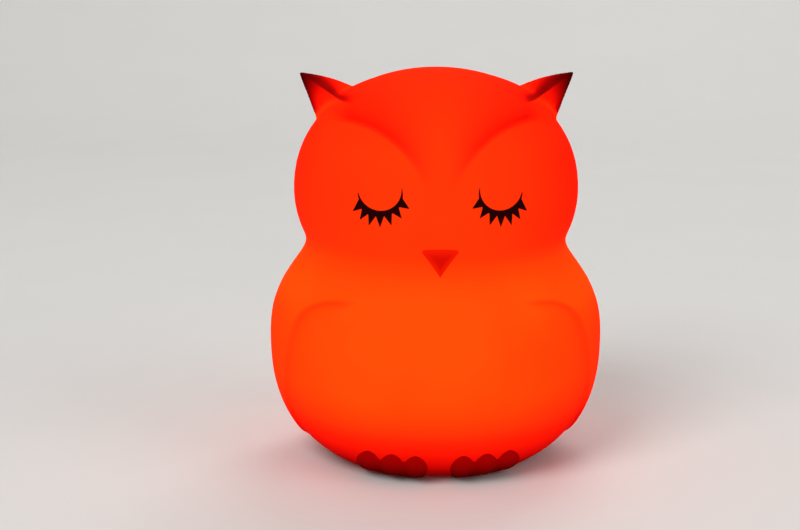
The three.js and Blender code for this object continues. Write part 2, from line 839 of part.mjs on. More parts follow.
function housing() {
  const ringInner = domeFlangeRadius + seatGap;
  const ringOuter = ringInner + domeRingWidth;
  const ringTop = deckTop + seatGap + domeFlangeThickness;
  const drum = solid(turned([
    [neckInnerRadius, coverTop + seatGap],
    [neckOuterRadius, coverTop + seatGap],
    [neckOuterRadius, drumBottom],
    [drumOuterRadius, drumBottom],
    [drumOuterRadius, deckTop - drumChamfer],
    [drumOuterRadius - drumChamfer, deckTop],
    [ringOuter, deckTop],
    [ringOuter, ringTop],
    [ringInner, ringTop],
    [ringInner, deckTop],
    [0, deckTop],
    [0, deckBottom],
    [drumInnerRadius, deckBottom],
    [drumInnerRadius, drumBottom + housingWall],
    [neckInnerRadius, drumBottom + housingWall],
    [neckInnerRadius, coverTop + seatGap],
  ], roundSides));
  const sunk = housingWall / 2;
  const postsOf = (places, radius, low, high) => places.map((place) => (
    solid(post(radius, place, low, high, screwSides))
  ));
  const posts = [
    ...postsOf(screwPlaces, screwPostRadius, coverTop + seatGap, deckBottom + sunk),
    ...postsOf(boardPosts, boardPostRadius, boardTop + seatGap, deckBottom + sunk),
    ...postsOf(ledPosts, ledPostRadius, deckTop - sunk, deckTop + ledPostHeight),
  ];
  const boss = panelBlock(
    throatWidth + 2 * portWall,
    throatHeight + 2 * portWall,
    throatCorner + portWall,
    drumInnerRadius - sunk,
    bossEnd,
  );
  const throat = panelBlock(
    throatWidth,
    throatHeight,
    throatCorner,
    drumInnerRadius - overrun,
    bossEnd + overrun,
  );
  const holeRadius = screwShankRadius + seatGap;
  const holes = [
    ...postsOf(screwPlaces, holeRadius, 0, coverBottom + coverScrewLength + overrun),
    ...postsOf(boardPosts, holeRadius, 0, controlBoardBottom + boardScrewLength + overrun),
    ...postsOf(ledPosts, holeRadius, ledBoardTop - ledScrewLength - seatGap, ledBoardTop + overrun),
  ];
  const slot = standing(
    [ledRibbonWidth + 2 * ribbonClearance, ribbonThickness + 2 * ribbonClearance, deckTop],
    ledConnectorPlace,
    deckBottom - housingWall,
  );
  return geometryOf(cut(joined(drum, boss, ...posts), throat, ...holes, solid(slot)));
}

function cover() {
  const plate = solid(turned([
    [0, coverBottom],
    [coverRadius - coverChamfer, coverBottom],
    [coverRadius, coverBottom + coverChamfer],
    [coverRadius, coverTop],
    [0, coverTop],
  ], roundSides));
  const screwHoles = screwPlaces.flatMap((place) => [
    post(screwShankRadius + seatGap, place, 0, deckTop, screwSides),
    post(screwHeadRadius + seatGap, place, 0, coverBottom + screwHeadHeight + seatGap, screwSides),
  ]);
  const pockets = padPlaces.map((place) => (
    post(padRadius + seatGap, place, 0, coverBottom + padPocketDepth, padSides)
  ));
  const [switchX, switchY] = switchPlace;
  const slotShape = roundedRectangle(
    knobLength + knobTravel + 2 * seatGap,
    knobWidth + 2 * seatGap,
    knobCorner + seatGap,
  );
  const dishShape = roundedRectangle(dishLength, dishWidth, dishCorner);
  const switchCuts = [
    upright(slotShape, 0, deckTop, cornerSteps),
    upright(dishShape, 0, coverBottom + dishDepth, cornerSteps),
  ].map((shape) => shape.translate(switchX - knobTravel / 2, switchY, 0));
  return geometryOf(cut(plate, ...[...screwHoles, ...pockets, ...switchCuts].map(solid)));
}

// A pan-head screw with a cross recess, its head at the low end
function screw(length) {
  const body = solid(turned([
    [0, 0],
    [screwHeadRadius - screwHeadHeight / 3, 0],
    [screwHeadRadius, screwHeadHeight / 3],
    [screwHeadRadius, screwHeadHeight],
    [screwShankRadius, screwHeadHeight],
    [screwShankRadius, length - screwShankRadius],
    [0, length],
  ], screwSides));
  const half = crossWidth / 2;
  const cross = joined(
    solid(block([-crossArm, -half, -overrun], [crossArm, half, crossDepth])),
    solid(block([-half, -crossArm, -overrun], [half, crossArm, crossDepth])),
  );
  return geometryOf(body.subtract(cross));
}

const headUp = (geometry) => geometry.rotateX(Math.PI);

// Rear panel pieces

function bezel() {
  const face = panelBlock(bezelWidth, bezelHeight, bezelCorner, bezelBack, bezelFront);
  const neck = panelBlock(
    bezelNeckWidth,
    bezelNeckHeight,
    bezelNeckCorner,
    bezelNeckBack,
    bezelFront - bezelThickness / 2,
  );
  const inside = panelBlock(
    bezelNeckWidth - 2 * bezelWall,
    bezelNeckHeight - 2 * bezelWall,
    bezelNeckCorner - bezelWall,
    bezelNeckBack - overrun,
    bezelBack,
  );
  const hole = (shape, offset, steps) => solid(
    frontways(shape, bezelBack - overrun, bezelFront + overrun, steps).translate(offset, 0, panelHeight),
  );
  const usbShape = roundedRectangle(usbWidth + 2 * seatGap, usbHeight + 2 * seatGap, usbCorner + seatGap);
  const holes = [
    hole(usbShape, usbOffset, cornerSteps),
    hole(disc(buttonRadius + seatGap), buttonOffset, padSides / 2),
    hole(disc(lightRadius + seatGap), lightOffset, screwSides / 2),
  ];
  return geometryOf(cut(face.add(neck), inside, ...holes));
}

// USB-C socket: a rounded metal can with its mouth open behind and a tongue inside
function usbSocket() {
  const mouth = bezelFront - seatGap;
  const canShape = roundedRectangle(usbWidth, usbHeight, usbCorner);
  const can = solid(frontways(canShape, mouth - usbLength, mouth, cornerSteps));
  const boreShape = roundedRectangle(
    usbWidth - 2 * usbShell,
    usbHeight - 2 * usbShell,
    usbCorner - usbShell,
  );
  const bore = solid(frontways(boreShape, mouth - usbDepth, mouth + overrun, cornerSteps));
  const tongue = solid(block(
    [-usbTongueWidth / 2, mouth - usbDepth - usbShell, -usbTongueHeight / 2],
    [usbTongueWidth / 2, mouth - usbTongueSetback, usbTongueHeight / 2],
  ));
  return geometryOf(can.subtract(bore).add(tongue)).translate(usbOffset, 0, panelHeight);
}

// Press button: a domed cap, a flange that keeps it behind the bezel, and a stem to the switch
function timerButton() {
  const stemEnd = portBoardEnd + plungerLength + buttonTravel + seatGap;
  const profile = [
    [0, stemEnd],
    [buttonStemRadius, stemEnd],
    [buttonStemRadius, flangeFront - buttonFlangeThickness / 2],
    [buttonRadius, flangeFront - buttonFlangeThickness / 2],
    [buttonRadius, buttonFront - buttonProud / 2],
    [buttonRadius * buttonDomeShare, buttonFront - buttonProud / 8],
    [0, buttonFront],
  ];
  const cap = solid(turned(profile, padSides).rotateX(-Math.PI / 2));
  const flange = solid(frontways(
    roundedRectangle(buttonFlangeWidth, buttonFlangeHeight, buttonFlangeCorner),
    flangeFront - buttonFlangeThickness,
    flangeFront,
    cornerSteps,
  ));
  return geometryOf(cap.add(flange)).translate(buttonOffset, 0, panelHeight);
}

// Push switch on the port board, with a fixed plunger guide that faces the button
function buttonSwitch() {
  const base = portBoardTop + seatGap;
  const body = solid(block(
    [-portSwitchWidth / 2, portBoardEnd - portSwitchLength, base],
    [portSwitchWidth / 2, portBoardEnd, base + portSwitchHeight],
  ));
  const plunger = frontways(
    disc(plungerRadius),
    portBoardEnd - plungerLength,
    portBoardEnd + plungerLength,
    screwSides / 2,
  );
  const joint = body.add(solid(plunger.translate(0, 0, panelHeight)));
  return geometryOf(joint).translate(buttonOffset, 0, 0);
}

function lightPipe() {
  const front = bezelFront + seatGap;
  const collarEnd = bezelBack - seatGap;
  const profile = [
    [0, front - lightLength],
    [lightRadius, front - lightLength],
    [lightRadius, collarEnd - lightCollarLength],
    [lightCollarRadius, collarEnd - lightCollarLength],
    [lightCollarRadius, collarEnd],
    [lightRadius, collarEnd],
    [lightRadius, front],
    [0, front],
  ];
  return turned(profile, screwSides).rotateX(-Math.PI / 2).translate(lightOffset, 0, panelHeight);
}

// Boards

function controlBoard() {
  const board = solid(post(controlBoardRadius, [0, 0], controlBoardBottom, boardTop, roundSides));
  const cuts = [
    ...screwPlaces.map((place) => post(screwPostRadius + 2 * seatGap, place, 0, deckTop, screwSides)),
    ...boardPosts.map((place) => post(screwShankRadius + seatGap, place, 0, deckTop, screwSides)),
  ];
  return geometryOf(cut(board, ...cuts.map(solid)));
}

function ledBoard() {
  const board = solid(post(ledBoardRadius, [0, 0], ledBoardBottom, ledBoardTop, roundSides));
  const top = ledBoardTop + overrun;
  const holes = ledPosts.map((place) => post(screwShankRadius + seatGap, place, 0, top, screwSides));
  return geometryOf(cut(board, ...holes.map(solid)));
}

function diffuserDome() {
  const base = deckTop + seatGap;
  const spring = base + domeFlangeThickness;
  const crown = domeHeight - domeFlangeThickness;
  const arc = (radius, height) => Array.from({ length: domeSteps + 1 }, (_, step) => {
    const angle = (Math.PI / 2) * (step / domeSteps);
    return [radius * Math.cos(angle) ** domeRoundPower, spring + height * Math.sin(angle)];
  });
  const outside = arc(domeRadius, crown);
  const inside = arc(domeRadius - domeWall, crown - domeWall).reverse();
  outside[domeSteps][0] = 0;
  inside[0][0] = 0;
  return turned([
    [domeRadius - domeWall, base],
    [domeFlangeRadius, base],
    [domeFlangeRadius, spring],
    ...outside,
    ...inside,
    [domeRadius - domeWall, base],
  ], roundSides);
}

// Power switch knob: a ribbed finger piece with a plate that hides the slot from inside
function switchKnob() {
  const plateBase = coverTop + seatGap;
  const [x, y] = switchPlace;
  const stem = solid(upright(
    roundedRectangle(knobLength, knobWidth, knobCorner),
    knobBottom,
    plateBase + knobPlateThickness,
    cornerSteps,
  ));
  const plate = solid(standing(
    [knobPlateLength, knobPlateWidth, knobPlateThickness],
    [0, 0],
    plateBase,
  ));
  const grooves = groovePlaces.map((place) => solid(standing(
    [grooveWidth, knobWidth * 2, grooveWidth * 2],
    [place, 0],
    knobBottom - grooveWidth,
  )));
  return geometryOf(cut(stem.add(plate), ...grooves)).translate(x, y, 0);
}

// Power switch body, high enough above the knob's plate to let it slide
function slideSwitch() {
  const top = controlBoardBottom - seatGap;
  return standing(switchSize, switchPlace, top - switchSize[2]);
}

// Cell and leads

function cell() {
  const [length, width, thickness] = cellSize;
  const shape = roundedRectangle(length, width, cellCorner);
  return upright(shape, cellBottom, cellBottom + thickness, cornerSteps);
}

function lead(y) {
  const [plugX] = plugPlace;
  const start = -cellSize[0] / 2 - seatGap;
  const end = plugX - plugSize[0] / 2 - seatGap;
  const high = cellBottom + cellSize[2] / 2;
  const low = componentBase + plugSize[2] / 2;
  const route = new THREE.CubicBezierCurve3(
    new THREE.Vector3(start, y, high),
    new THREE.Vector3(start - leadBulge, y, high),
    new THREE.Vector3(end - leadBulge, y, low),
    new THREE.Vector3(end, y, low),
  );
  return new THREE.ExtrudeGeometry(disc(leadRadius), {
    steps: leadSteps,
    extrudePath: route,
    curveSegments: leadSides,
    bevelEnabled: false,
  });
}

// A flat ribbon: its side view is a smooth line of even thickness through a few points (y, z)
function ribbon(x, width, points) {
  const line = new THREE.SplineCurve(points.map((point) => new THREE.Vector2(...point)));
  const shares = Array.from({ length: ribbonSteps + 1 }, (_, step) => step / ribbonSteps);
  const edge = (side) => shares.map((share) => {
    const along = line.getTangent(share);
    const reach = (side * ribbonThickness) / 2;
    return line.getPoint(share).add(new THREE.Vector2(-along.y * reach, along.x * reach));
  });
  const outline = new THREE.Shape([...edge(-1), ...edge(1).reverse()]);
  return sideways(outline, x - width / 2, x + width / 2, 1);
}

function portRibbon() {
  const [x, y] = portConnectorPlace;
  const low = componentBase + portConnectorSize[2] / 2;
  const high = portBoardTop - boardThickness / 2;
  const start = y + portConnectorSize[1] / 2 + seatGap;
  const end = portBoardStart - seatGap;
  const [riseStart, riseMiddle, riseEnd] = portRiseShares.map((share) => (
    start + (end - start) * share
  ));
  return ribbon(x, portRibbonWidth, [
    [start, low],
    [riseStart, low + ribbonThickness],
    [riseMiddle, (low + high) / 2],
    [riseEnd, high - ribbonThickness],
    [end, high],
  ]);
}

function ledRibbon() {
  const [x, y] = ledConnectorPlace;
  const low = componentBase + ledConnectorSize[2] + seatGap;
  const high = ledBoardBottom - seatGap;
  return ribbon(x, ledRibbonWidth, [
    [y, low],
    [y, (low + high) / 2],
    [y, deckTop],
    [y - ledRibbonLean, high],
  ]);
}

// Scene graph: one named mesh for each piece, each with its own material

const owl = new THREE.Group();

function addPart(name, geometry, look) {
  const [color, roughness, metalness] = look;
  const mesh = new THREE.Mesh(geometry, new THREE.MeshStandardMaterial({ color, roughness, metalness }));
  mesh.name = name;
  owl.add(mesh);
  return mesh;
}

const silicone = [0xff4a08, 0.55, 0];
const darkPrint = [0x140404, 0.6, 0];
const beakRed = [0xd6200a, 0.5, 0];
const toeRed = [0x8a0e06, 0.55, 0];
const whitePlastic = [0xe9e6df, 0.5, 0];
const frosted = [0xf6f4ee, 0.4, 0];
const rubberGrey = [0x6d6d6b, 0.85, 0];
const steel = [0xb9bcc0, 0.3, 1];
const boardGreen = [0x1d5b34, 0.5, 0];
const chipBlack = [0x17181a, 0.45, 0];
const pouchSilver = [0xc3c6ca, 0.35, 0.8];
const tapeWhite = [0xe4e2da, 0.9, 0];
const leadRed = [0xb3201c, 0.5, 0];
const leadBlack = [0x1b1b1c, 0.5, 0];
const clearPlastic = [0xdfeaf0, 0.15, 0];
const ribbonGrey = [0x9b9c9d, 0.6, 0];

addPart('owl_skin', geometryOf(owlSkin()), silicone);

const leftLashes = eyelashes();
addPart('left_eyelashes', leftLashes, darkPrint);
addPart('right_eyelashes', mirrored(leftLashes), darkPrint);
addPart('beak', beak(), beakRed);

const leftFoot = foot();
addPart('left_foot', leftFoot, toeRed);
addPart('right_foot', mirrored(leftFoot), toeRed);

addPart('base_housing', housing(), whitePlastic);
addPart('bottom_cover', cover(), whitePlastic);
padPlaces.forEach((place, step) => {
  const high = coverBottom + padPocketDepth - seatGap;
  addPart(`anti_slip_pad_${step + 1}`, post(padRadius, place, 0, high, padSides), rubberGrey);
});
screwPlaces.forEach((place, step) => {
  addPart(`cover_screw_${step + 1}`, screw(coverScrewLength), steel).position.set(...place, coverBottom);
});

addPart('rear_bezel', bezel(), whitePlastic);
addPart('usb_socket', usbSocket(), steel);
addPart('timer_button', timerButton(), rubberGrey);
addPart('button_switch', buttonSwitch(), chipBlack);
addPart('charge_light_pipe', lightPipe(), clearPlastic);
addPart('charge_led', standing(
  chargeLedSize,
  [lightOffset, bezelFront - lightLength - chargeLedSize[1] / 2],
  portBoardTop + seatGap,
), frosted);
addPart('port_board', block(
  [-portBoardWidth / 2, portBoardStart, portBoardTop - boardThickness],
  [portBoardWidth / 2, portBoardEnd, portBoardTop],
), boardGreen);

addPart('battery_cell', cell(), pouchSilver);
addPart('battery_tape', standing([...tapeSize, tapeThickness], [0, 0], cellTop + seatGap), tapeWhite);
addPart('battery_lead_positive', lead(leadPlaces[0]), leadRed);
addPart('battery_lead_negative', lead(leadPlaces[1]), leadBlack);
addPart('battery_connector', standing(plugSize, plugPlace, componentBase), tapeWhite);

addPart('control_board', controlBoard(), boardGreen);
addPart('slide_switch', slideSwitch(), chipBlack);
addPart('switch_knob', switchKnob(), chipBlack);
addPart('mcu_chip', standing(mcuSize, mcuPlace, componentBase), chipBlack);
addPart('charge_chip', standing(chargeSize, chargePlace, componentBase), chipBlack);
addPart('inductor', standing(inductorSize, inductorPlace, componentBase), chipBlack);
addPart('capacitor', post(
  capacitorRadius,
  capacitorPlace,
  componentBase,
  componentBase + capacitorHeight,
  screwSides,
), pouchSilver);
addPart('tap_sensor', post(
  sensorRadius,
  sensorPlace,
  componentBase,
  componentBase + sensorHeight,
  screwSides,
), steel);
boardPosts.forEach((place, step) => {
  const base = controlBoardBottom - screwHeadHeight - seatGap;
  addPart(`board_screw_${step + 1}`, screw(boardScrewLength), steel).position.set(...place, base);
});

addPart('led_board', ledBoard(), tapeWhite);
ringPlaces(ledCount, ledCircle, 0).forEach((place, step) => {
  const height = ledBoardTop + seatGap;
  addPart(`led_${step + 1}`, standing([ledSize, ledSize, ledHeight], place, height), frosted);
});
ledPosts.forEach((place, step) => {
  const top = ledBoardTop + seatGap + screwHeadHeight;
  addPart(`led_screw_${step + 1}`, headUp(screw(ledScrewLength)), steel).position.set(...place, top);
});
addPart('diffuser_dome', diffuserDome(), frosted);

addPart('port_cable', portRibbon(), ribbonGrey);
addPart('port_connector', standing(portConnectorSize, portConnectorPlace, componentBase), tapeWhite);
addPart('led_cable', ledRibbon(), ribbonGrey);
addPart('led_connector', standing(ledConnectorSize, ledConnectorPlace, componentBase), tapeWhite);

export default owl;
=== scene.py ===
"""Owl night light: the looks of a soft silicone lamp that glows, built around its fixed frame.

Shapes are worked out in millimetres and turned into metres when their mesh is made.
"""

import math

import bpy
import numpy as np
import openvdb
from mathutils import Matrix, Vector


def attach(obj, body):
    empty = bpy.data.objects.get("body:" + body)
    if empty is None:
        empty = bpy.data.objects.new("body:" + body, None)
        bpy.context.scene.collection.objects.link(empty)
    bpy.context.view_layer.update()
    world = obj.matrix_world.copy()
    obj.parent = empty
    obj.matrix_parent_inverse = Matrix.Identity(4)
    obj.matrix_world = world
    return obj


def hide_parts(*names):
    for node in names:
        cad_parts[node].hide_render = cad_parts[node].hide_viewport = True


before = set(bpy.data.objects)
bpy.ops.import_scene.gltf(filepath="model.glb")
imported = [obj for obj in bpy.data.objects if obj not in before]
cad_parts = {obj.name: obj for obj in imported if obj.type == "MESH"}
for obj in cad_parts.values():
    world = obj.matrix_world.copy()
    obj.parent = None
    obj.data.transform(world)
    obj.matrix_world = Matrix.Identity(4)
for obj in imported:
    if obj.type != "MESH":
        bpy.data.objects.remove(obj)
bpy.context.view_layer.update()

MM = 0.001
TINY = 1e-6

# Meshing: the spacing of the grid for each piece, and how far even stretches are merged
SKIN_STEP = 0.5
LASH_STEP = 0.25
BEAK_STEP = 0.3
FOOT_STEP = 0.4
TABLE_STEP = 0.5
SKIN_MERGING = 0.01

# The grid is filled from a coarse one, this many steps apart, and worked out exactly within this
# many steps of the surface
BAND_STRIDE = 4
BAND_REACH = 10

# Corners move onto the surface in a few rounds, with the square of a slope never taken as less
SETTLE_ROUNDS = 3
LEAST_SLOPE_SQUARED = 0.2

# Body and head lobes: half sizes of the plan section, and how far each lobe reaches up and down
BODY_HALF_WIDTH = 65.95
BODY_HALF_DEPTH = 61.2
BODY_CENTRE_HEIGHT = 50.3
BODY_RISE = 43.6
BODY_DROP = 57.1
BODY_RISE_POWER = 2.44
BODY_DROP_POWER = 2.45
HEAD_HALF_WIDTH = 56.9
HEAD_CENTRE_HEIGHT = 110.2
HEAD_RISE = 47.59
HEAD_DROP = 44.6
HEAD_POWER = 2.08
BLEND_POWER = 5.66
PROFILE_POINTS = 260
SKIN_TOP = HEAD_CENTRE_HEIGHT + HEAD_RISE
SKIN_BOTTOM = BODY_CENTRE_HEIGHT - BODY_DROP

# The chin hangs lower in front
CHIN_DROP = 4
NECK_HEIGHT = 90
NECK_SPREAD = 28
LEVEL_ROUNDS = 3

# Silicone wall, rim and lip
WALL = 3
RIM_HEIGHT = 0.8
RIM_ROUND = 1.2
LIP_TOP = 6.2
NECK_OUTER_RADIUS = 30.6
COVER_RADIUS = 34
COVER_TOP = 3.8
GAP = 0.3
CRISP = 0.4

# Brow relief round two eye discs
BROW_HEIGHT = 1.8
BROW_RADIUS = 33.4
BROW_OFFSET = 37.1
BROW_CENTRE_HEIGHT = 106.7
BROW_FADE = 15
BROW_EDGE = 1.6
BROW_ANGLES = (64, 86, 118, 172)

# Wing relief, seen from the side
WING_HEIGHT = 1.1
WING_TIP_HEIGHT = 8.3
WING_TOP_HEIGHT = 72.4
WING_FRONT_REACH = 47
WING_FADE_START = 70
WING_FADE_END = 92
WING_END_FADE = 5
WING_INSET = 25
WING_EDGE = 2.4

# The wing's edge from its tip up: curves whose points are shares of the way to its front and top,
# and how many points are worked out on each
WING_CURVES = (
    (((0, 0), (0.3, 0), (0.39, 0.2)), 12),
    (((0.39, 0.2), (0.51, 0.35), (0.62, 0.62), (0.69, 0.8)), 16),
    (((0.69, 0.8), (0.7, 1), (1, 1)), 16),
)

# Ears: tip, the three corners at the root, and how far the facets are hollowed or crowned
EAR_TIP = (54.6, -4, 156.7)
EAR_TOP_CORNER = (32.7, 4.9, 150)
EAR_CREST_CORNER = (35, -18.3, 145.4)
EAR_OUTER_CORNER = (48, -2.6, 137.9)
EAR_TOP_BOW = 1.05
EAR_CROWN_SHARES = (-0.08, -0.08, 0.12)
EAR_CROWN_LIMIT = -0.5
EAR_SINK_SHARE = 0.42
EAR_HOLLOW_SHARE = 0.34
EAR_FILLET = 1.1
EAR_EDGE_ROUND = 0.7

# Rear recess
PANEL_HEIGHT = 23
RECESS_WIDTH = 31
RECESS_HEIGHT = 15
RECESS_CORNER = 5
RECESS_DEPTH = 5.85
RECESS_FLOOR_THICKNESS = 2.5
RECESS_LIP = 1.6
THROAT_WIDTH = 24
THROAT_HEIGHT = 9.4
THROAT_CORNER = 3.5

# Sleeping eyes
EYE_OFFSET = 22.8
EYE_CENTRE_HEIGHT = 117.15
EYE_RADIUS = 8.2
LID_THICKNESS = 2.1
LID_END_THICKNESS = 0.2
LID_SWEEP = 174
LID_TILT = 7.5
LID_TAPER_POWER = 1.3
LASH_HALF_BASE = 2.2
STRAIGHT_DOWN = 270
# Each lash: its angle from straight down, outwards, and its reach past the lid's inner edge
LASHES = ((47.5, 5.6), (31.3, 6.3), (16, 6.7), (-0.5, 6.5), (-18, 6.2), (-37.5, 5.4), (-58, 5))
LASH_RISE = 0.35

# Beak
BEAK_HALF_WIDTH = 8.5
BEAK_TOP_HEIGHT = 94.9
BEAK_TIP_HEIGHT = 82.6
BEAK_CORNER = 1.4
BEAK_ARCH = 0.9
BEAK_REACH = 4
BEAK_ROUND = 1.2

# The beak gets darker from this far in front of the body, over this far
BEAK_DARK_START = 0.5
BEAK_DARK_FADE = 3.077

# Toes
TOE_OFFSETS = (9.2, 18.3, 27.4)
TOE_TOPS = (13.5, 13.8, 14)
TOE_RISES = (2.7, 2.3, 1.6)
TOE_HALF_WIDTH = 4.75
TOE_POINT_POWER = 1.6
TOE_CENTRE_HEIGHT = 6.4
TOE_BOTTOM = -0.4
WEB_RISES = (1.5, 1.4, 0.8)
WEB_TOP_HEIGHT = 10.6
WEB_FADE = 2
TOE_SIDE_FADE = TOE_HALF_WIDTH / 2

# The toes get lighter from this height, over this far
TOE_LIGHT_START = 1
TOE_LIGHT_FADE = 12

# The boxes that hold each piece, as lowest and highest x, y and z
SKIN_BOX = ((-70, -65, -1.5), (70, 66, 161))
LASH_BOX = (
    (EYE_OFFSET - 15, -55, EYE_CENTRE_HEIGHT - 16),
    (EYE_OFFSET + 15, -36, EYE_CENTRE_HEIGHT + 4),
)
BEAK_BOX = ((-10, -60, BEAK_TIP_HEIGHT - 3), (10, -40, BEAK_TOP_HEIGHT + 3))
FOOT_BOX = ((1.5, -66, -1), (36, -30, 17))

# How much light the silicone and the ink give off, and how glossy each is
SILICONE_LIGHT = 0.85
SILICONE_GLOSS = 0.002
INK_LIGHT = 0.8
INK_GLOSS = 0.02

# Shades drawn on the skin: the attribute that says how strong each is, the one that says how far
# across its edge a point lies, where on that way it starts and is full, and its depth
SKIN_SHADES = (
    ("brow_shade", "brow_rim", -1.4, 2.1, 0.74),
    ("wing_shade", "wing_edge", -2.1, 0.6, 0.3),
    ("crest_shade", "crest", -0.6, 0.8, 0.66),
)

# Camera: the photograph's angle
VIEW_TARGET = (-14.4, 0, 77.9)
VIEW_AZIMUTH = -0.9
VIEW_ELEVATION = 12
VIEW_DISTANCE = 700
VIEW_LENS = 77.76
SENSOR_WIDTH = 36

# Floor and backdrop, in millimetres, and the point that the lamps shine on, in metres
FLOOR_FRONT = -2500
FLOOR_HALF_WIDTH = 4000
BEND_START = 900
BEND_RADIUS = 500
BEND_STEPS = 16
BACKDROP_TOP = 2600
LIGHT_TARGET = (0, 0, 0.08)


# Fields: functions of x, y and z that are negative inside a shape


def smooth(value):
    share = np.clip(value, 0, 1)
    return share * share * (3 - 2 * share)


def crossing(distance, width):
    """0 on one side of a line and 1 on its other side, over a width."""
    return smooth(distance / width + 0.5)


def soft_max(a, b, radius):
    """The greater of two fields, with the corner between them rounded."""
    share = np.clip(0.5 + 0.5 * (a - b) / radius, 0, 1)
    return b + (a - b) * share + radius * share * (1 - share)


def soft_min(a, b, radius):
    return -soft_max(-a, -b, radius)


def lobe(height, centre, rise, drop, rise_power, drop_power):
    """Width of a rounded form at a height, as a share of its full width."""
    above = height > centre
    power = np.where(above, rise_power, drop_power)
    share = np.minimum(np.abs(height - centre) / np.where(above, rise, drop), 1)
    return (1 - share**power) ** (1 / power)


def half_width(height):
    body = BODY_HALF_WIDTH * lobe(
        height, BODY_CENTRE_HEIGHT, BODY_RISE, BODY_DROP, BODY_RISE_POWER, BODY_DROP_POWER
    )
    head = HEAD_HALF_WIDTH * lobe(
        height, HEAD_CENTRE_HEIGHT, HEAD_RISE, HEAD_DROP, HEAD_POWER, HEAD_POWER
    )
    return (body**BLEND_POWER + head**BLEND_POWER) ** (1 / BLEND_POWER)


class Table:
    """A function of two lengths, kept on a grid and read by interpolation."""

    def __init__(self, low, high, step, function):
        self.low = low
        self.step = step
        u, v = (np.arange(low[i], high[i] + step, step) for i in (0, 1))
        self.values = function(*np.meshgrid(u, v, indexing="ij"))

    def __call__(self, u, v):
        at, between = [], []
        for axis, value in enumerate((u, v)):
            place = (value - self.low[axis]) / self.step
            place = np.clip(place, 0, self.values.shape[axis] - 1 - TINY)
            whole = place.astype(np.int32)
            at.append(whole)
            between.append(place - whole)
        (i, j), (s, t) = at, between
        near = self.values[i, j] * (1 - t) + self.values[i, j + 1] * t
        far = self.values[i + 1, j] * (1 - t) + self.values[i + 1, j + 1] * t
        return near * (1 - s) + far * s


def distance_to_line(u, v, line):
    nearest = np.full(u.shape, np.inf)
    for start, end in zip(line[:-1], line[1:]):
        along = end - start
        across = (u - start[0]) * along[0] + (v - start[1]) * along[1]
        share = np.clip(across / (along @ along), 0, 1)
        nearest = np.minimum(
            nearest, np.hypot(u - start[0] - share * along[0], v - start[1] - share * along[1])
        )
    return nearest


def profile_distance(reach, height):
    """Distance outside the outline of body and head."""
    turns = np.linspace(0, math.pi, PROFILE_POINTS)
    heights = SKIN_BOTTOM + (SKIN_TOP - SKIN_BOTTOM) * (1 - np.cos(turns)) / 2
    line = np.column_stack([half_width(heights), heights])
    inside = reach < half_width(height)
    return np.where(inside, -1, 1) * distance_to_line(reach, height, line)


def bezier(points, count):
    share = np.linspace(0, 1, count)[:, None]
    layer = [np.array(point, float) for point in points]
    while len(layer) > 1:
        layer = [a * (1 - share) + b * share for a, b in zip(layer, layer[1:])]
    return layer[0]


def wing_line():
    """One edge of the wing from its tip up, as (reach, height)."""
    rise = WING_TOP_HEIGHT - WING_TIP_HEIGHT
    line = [(0, WING_TIP_HEIGHT)]
    for shares, count in WING_CURVES:
        points = [(u * WING_FRONT_REACH, WING_TIP_HEIGHT + v * rise) for u, v in shares]
        line.extend(bezier(points, count)[1:])
    return np.array(line)


def wing_distance(reach, height):
    """Positive inside the wing's outline."""
    line = wing_line()
    edge = np.interp(height, line[:, 1], line[:, 0], left=-1, right=2 * WING_FRONT_REACH)
    return np.where(reach < edge, 1, -1) * distance_to_line(reach, height, line)


profile_table = Table((0, -20), (95, 185), TABLE_STEP, profile_distance)
wing_table = Table((0, -10), (70, 100), TABLE_STEP, wing_distance)
ASPECT = BODY_HALF_WIDTH / BODY_HALF_DEPTH
RECESS_FLOOR = float(half_width(PANEL_HEIGHT)) / ASPECT - RECESS_DEPTH
RECESS_FLOOR_BACK = RECESS_FLOOR - RECESS_FLOOR_THICKNESS


def level_of(y, z):
    """Height on the form before the chin was lowered."""
    level = z
    for _ in range(LEVEL_ROUNDS):
        hang = np.exp(-(((level - NECK_HEIGHT) / NECK_SPREAD) ** 2))
        level = z - CHIN_DROP * (y / BODY_HALF_DEPTH) * hang
    return level


def body_field(x, y, z):
    return profile_table(np.hypot(x, ASPECT * y), level_of(y, z))


def brow_rim(x, z):
    """Distance outside the rim of the nearer eye disc."""
    return np.hypot(np.abs(x) - BROW_OFFSET, z - BROW_CENTRE_HEIGHT) - BROW_RADIUS


def brow_turn(x, z):
    """Direction from the middle of the nearer eye disc: 0 outwards, 90 up, 180 inwards."""
    return np.degrees(np.arctan2(z - BROW_CENTRE_HEIGHT, np.abs(x) - BROW_OFFSET)) % 360


def brow_window(x, y, z, angles=BROW_ANGLES):
    """1 along the stretch of the rim that stands up in front, fading to 0 at both of its ends."""
    start, full_start, full_end, end = angles
    turn = brow_turn(x, z)
    window = smooth((turn - start) / (full_start - start)) * smooth((end - turn) / (end - full_end))
    return window * smooth(-y / WALL)


def brow_share(x, y, z):
    out = np.maximum(brow_rim(x, z), 0)
    return np.exp(-((out / BROW_FADE) ** 2)) * brow_window(x, y, z)


def wing_share(x, y, z):
    up = smooth((WING_FADE_END - z) / (WING_FADE_END - WING_FADE_START))
    end = smooth((WING_FRONT_REACH + GAP - np.abs(y)) / WING_END_FADE)
    return up * end * smooth((np.abs(x) - WING_INSET) / WALL)


def relief(x, y, z):
    brow = BROW_HEIGHT * brow_share(x, y, z) * crossing(brow_rim(x, z), BROW_EDGE)
    wing = WING_HEIGHT * wing_share(x, y, z)
    return brow + wing * crossing(wing_table(np.abs(y), z), WING_EDGE)


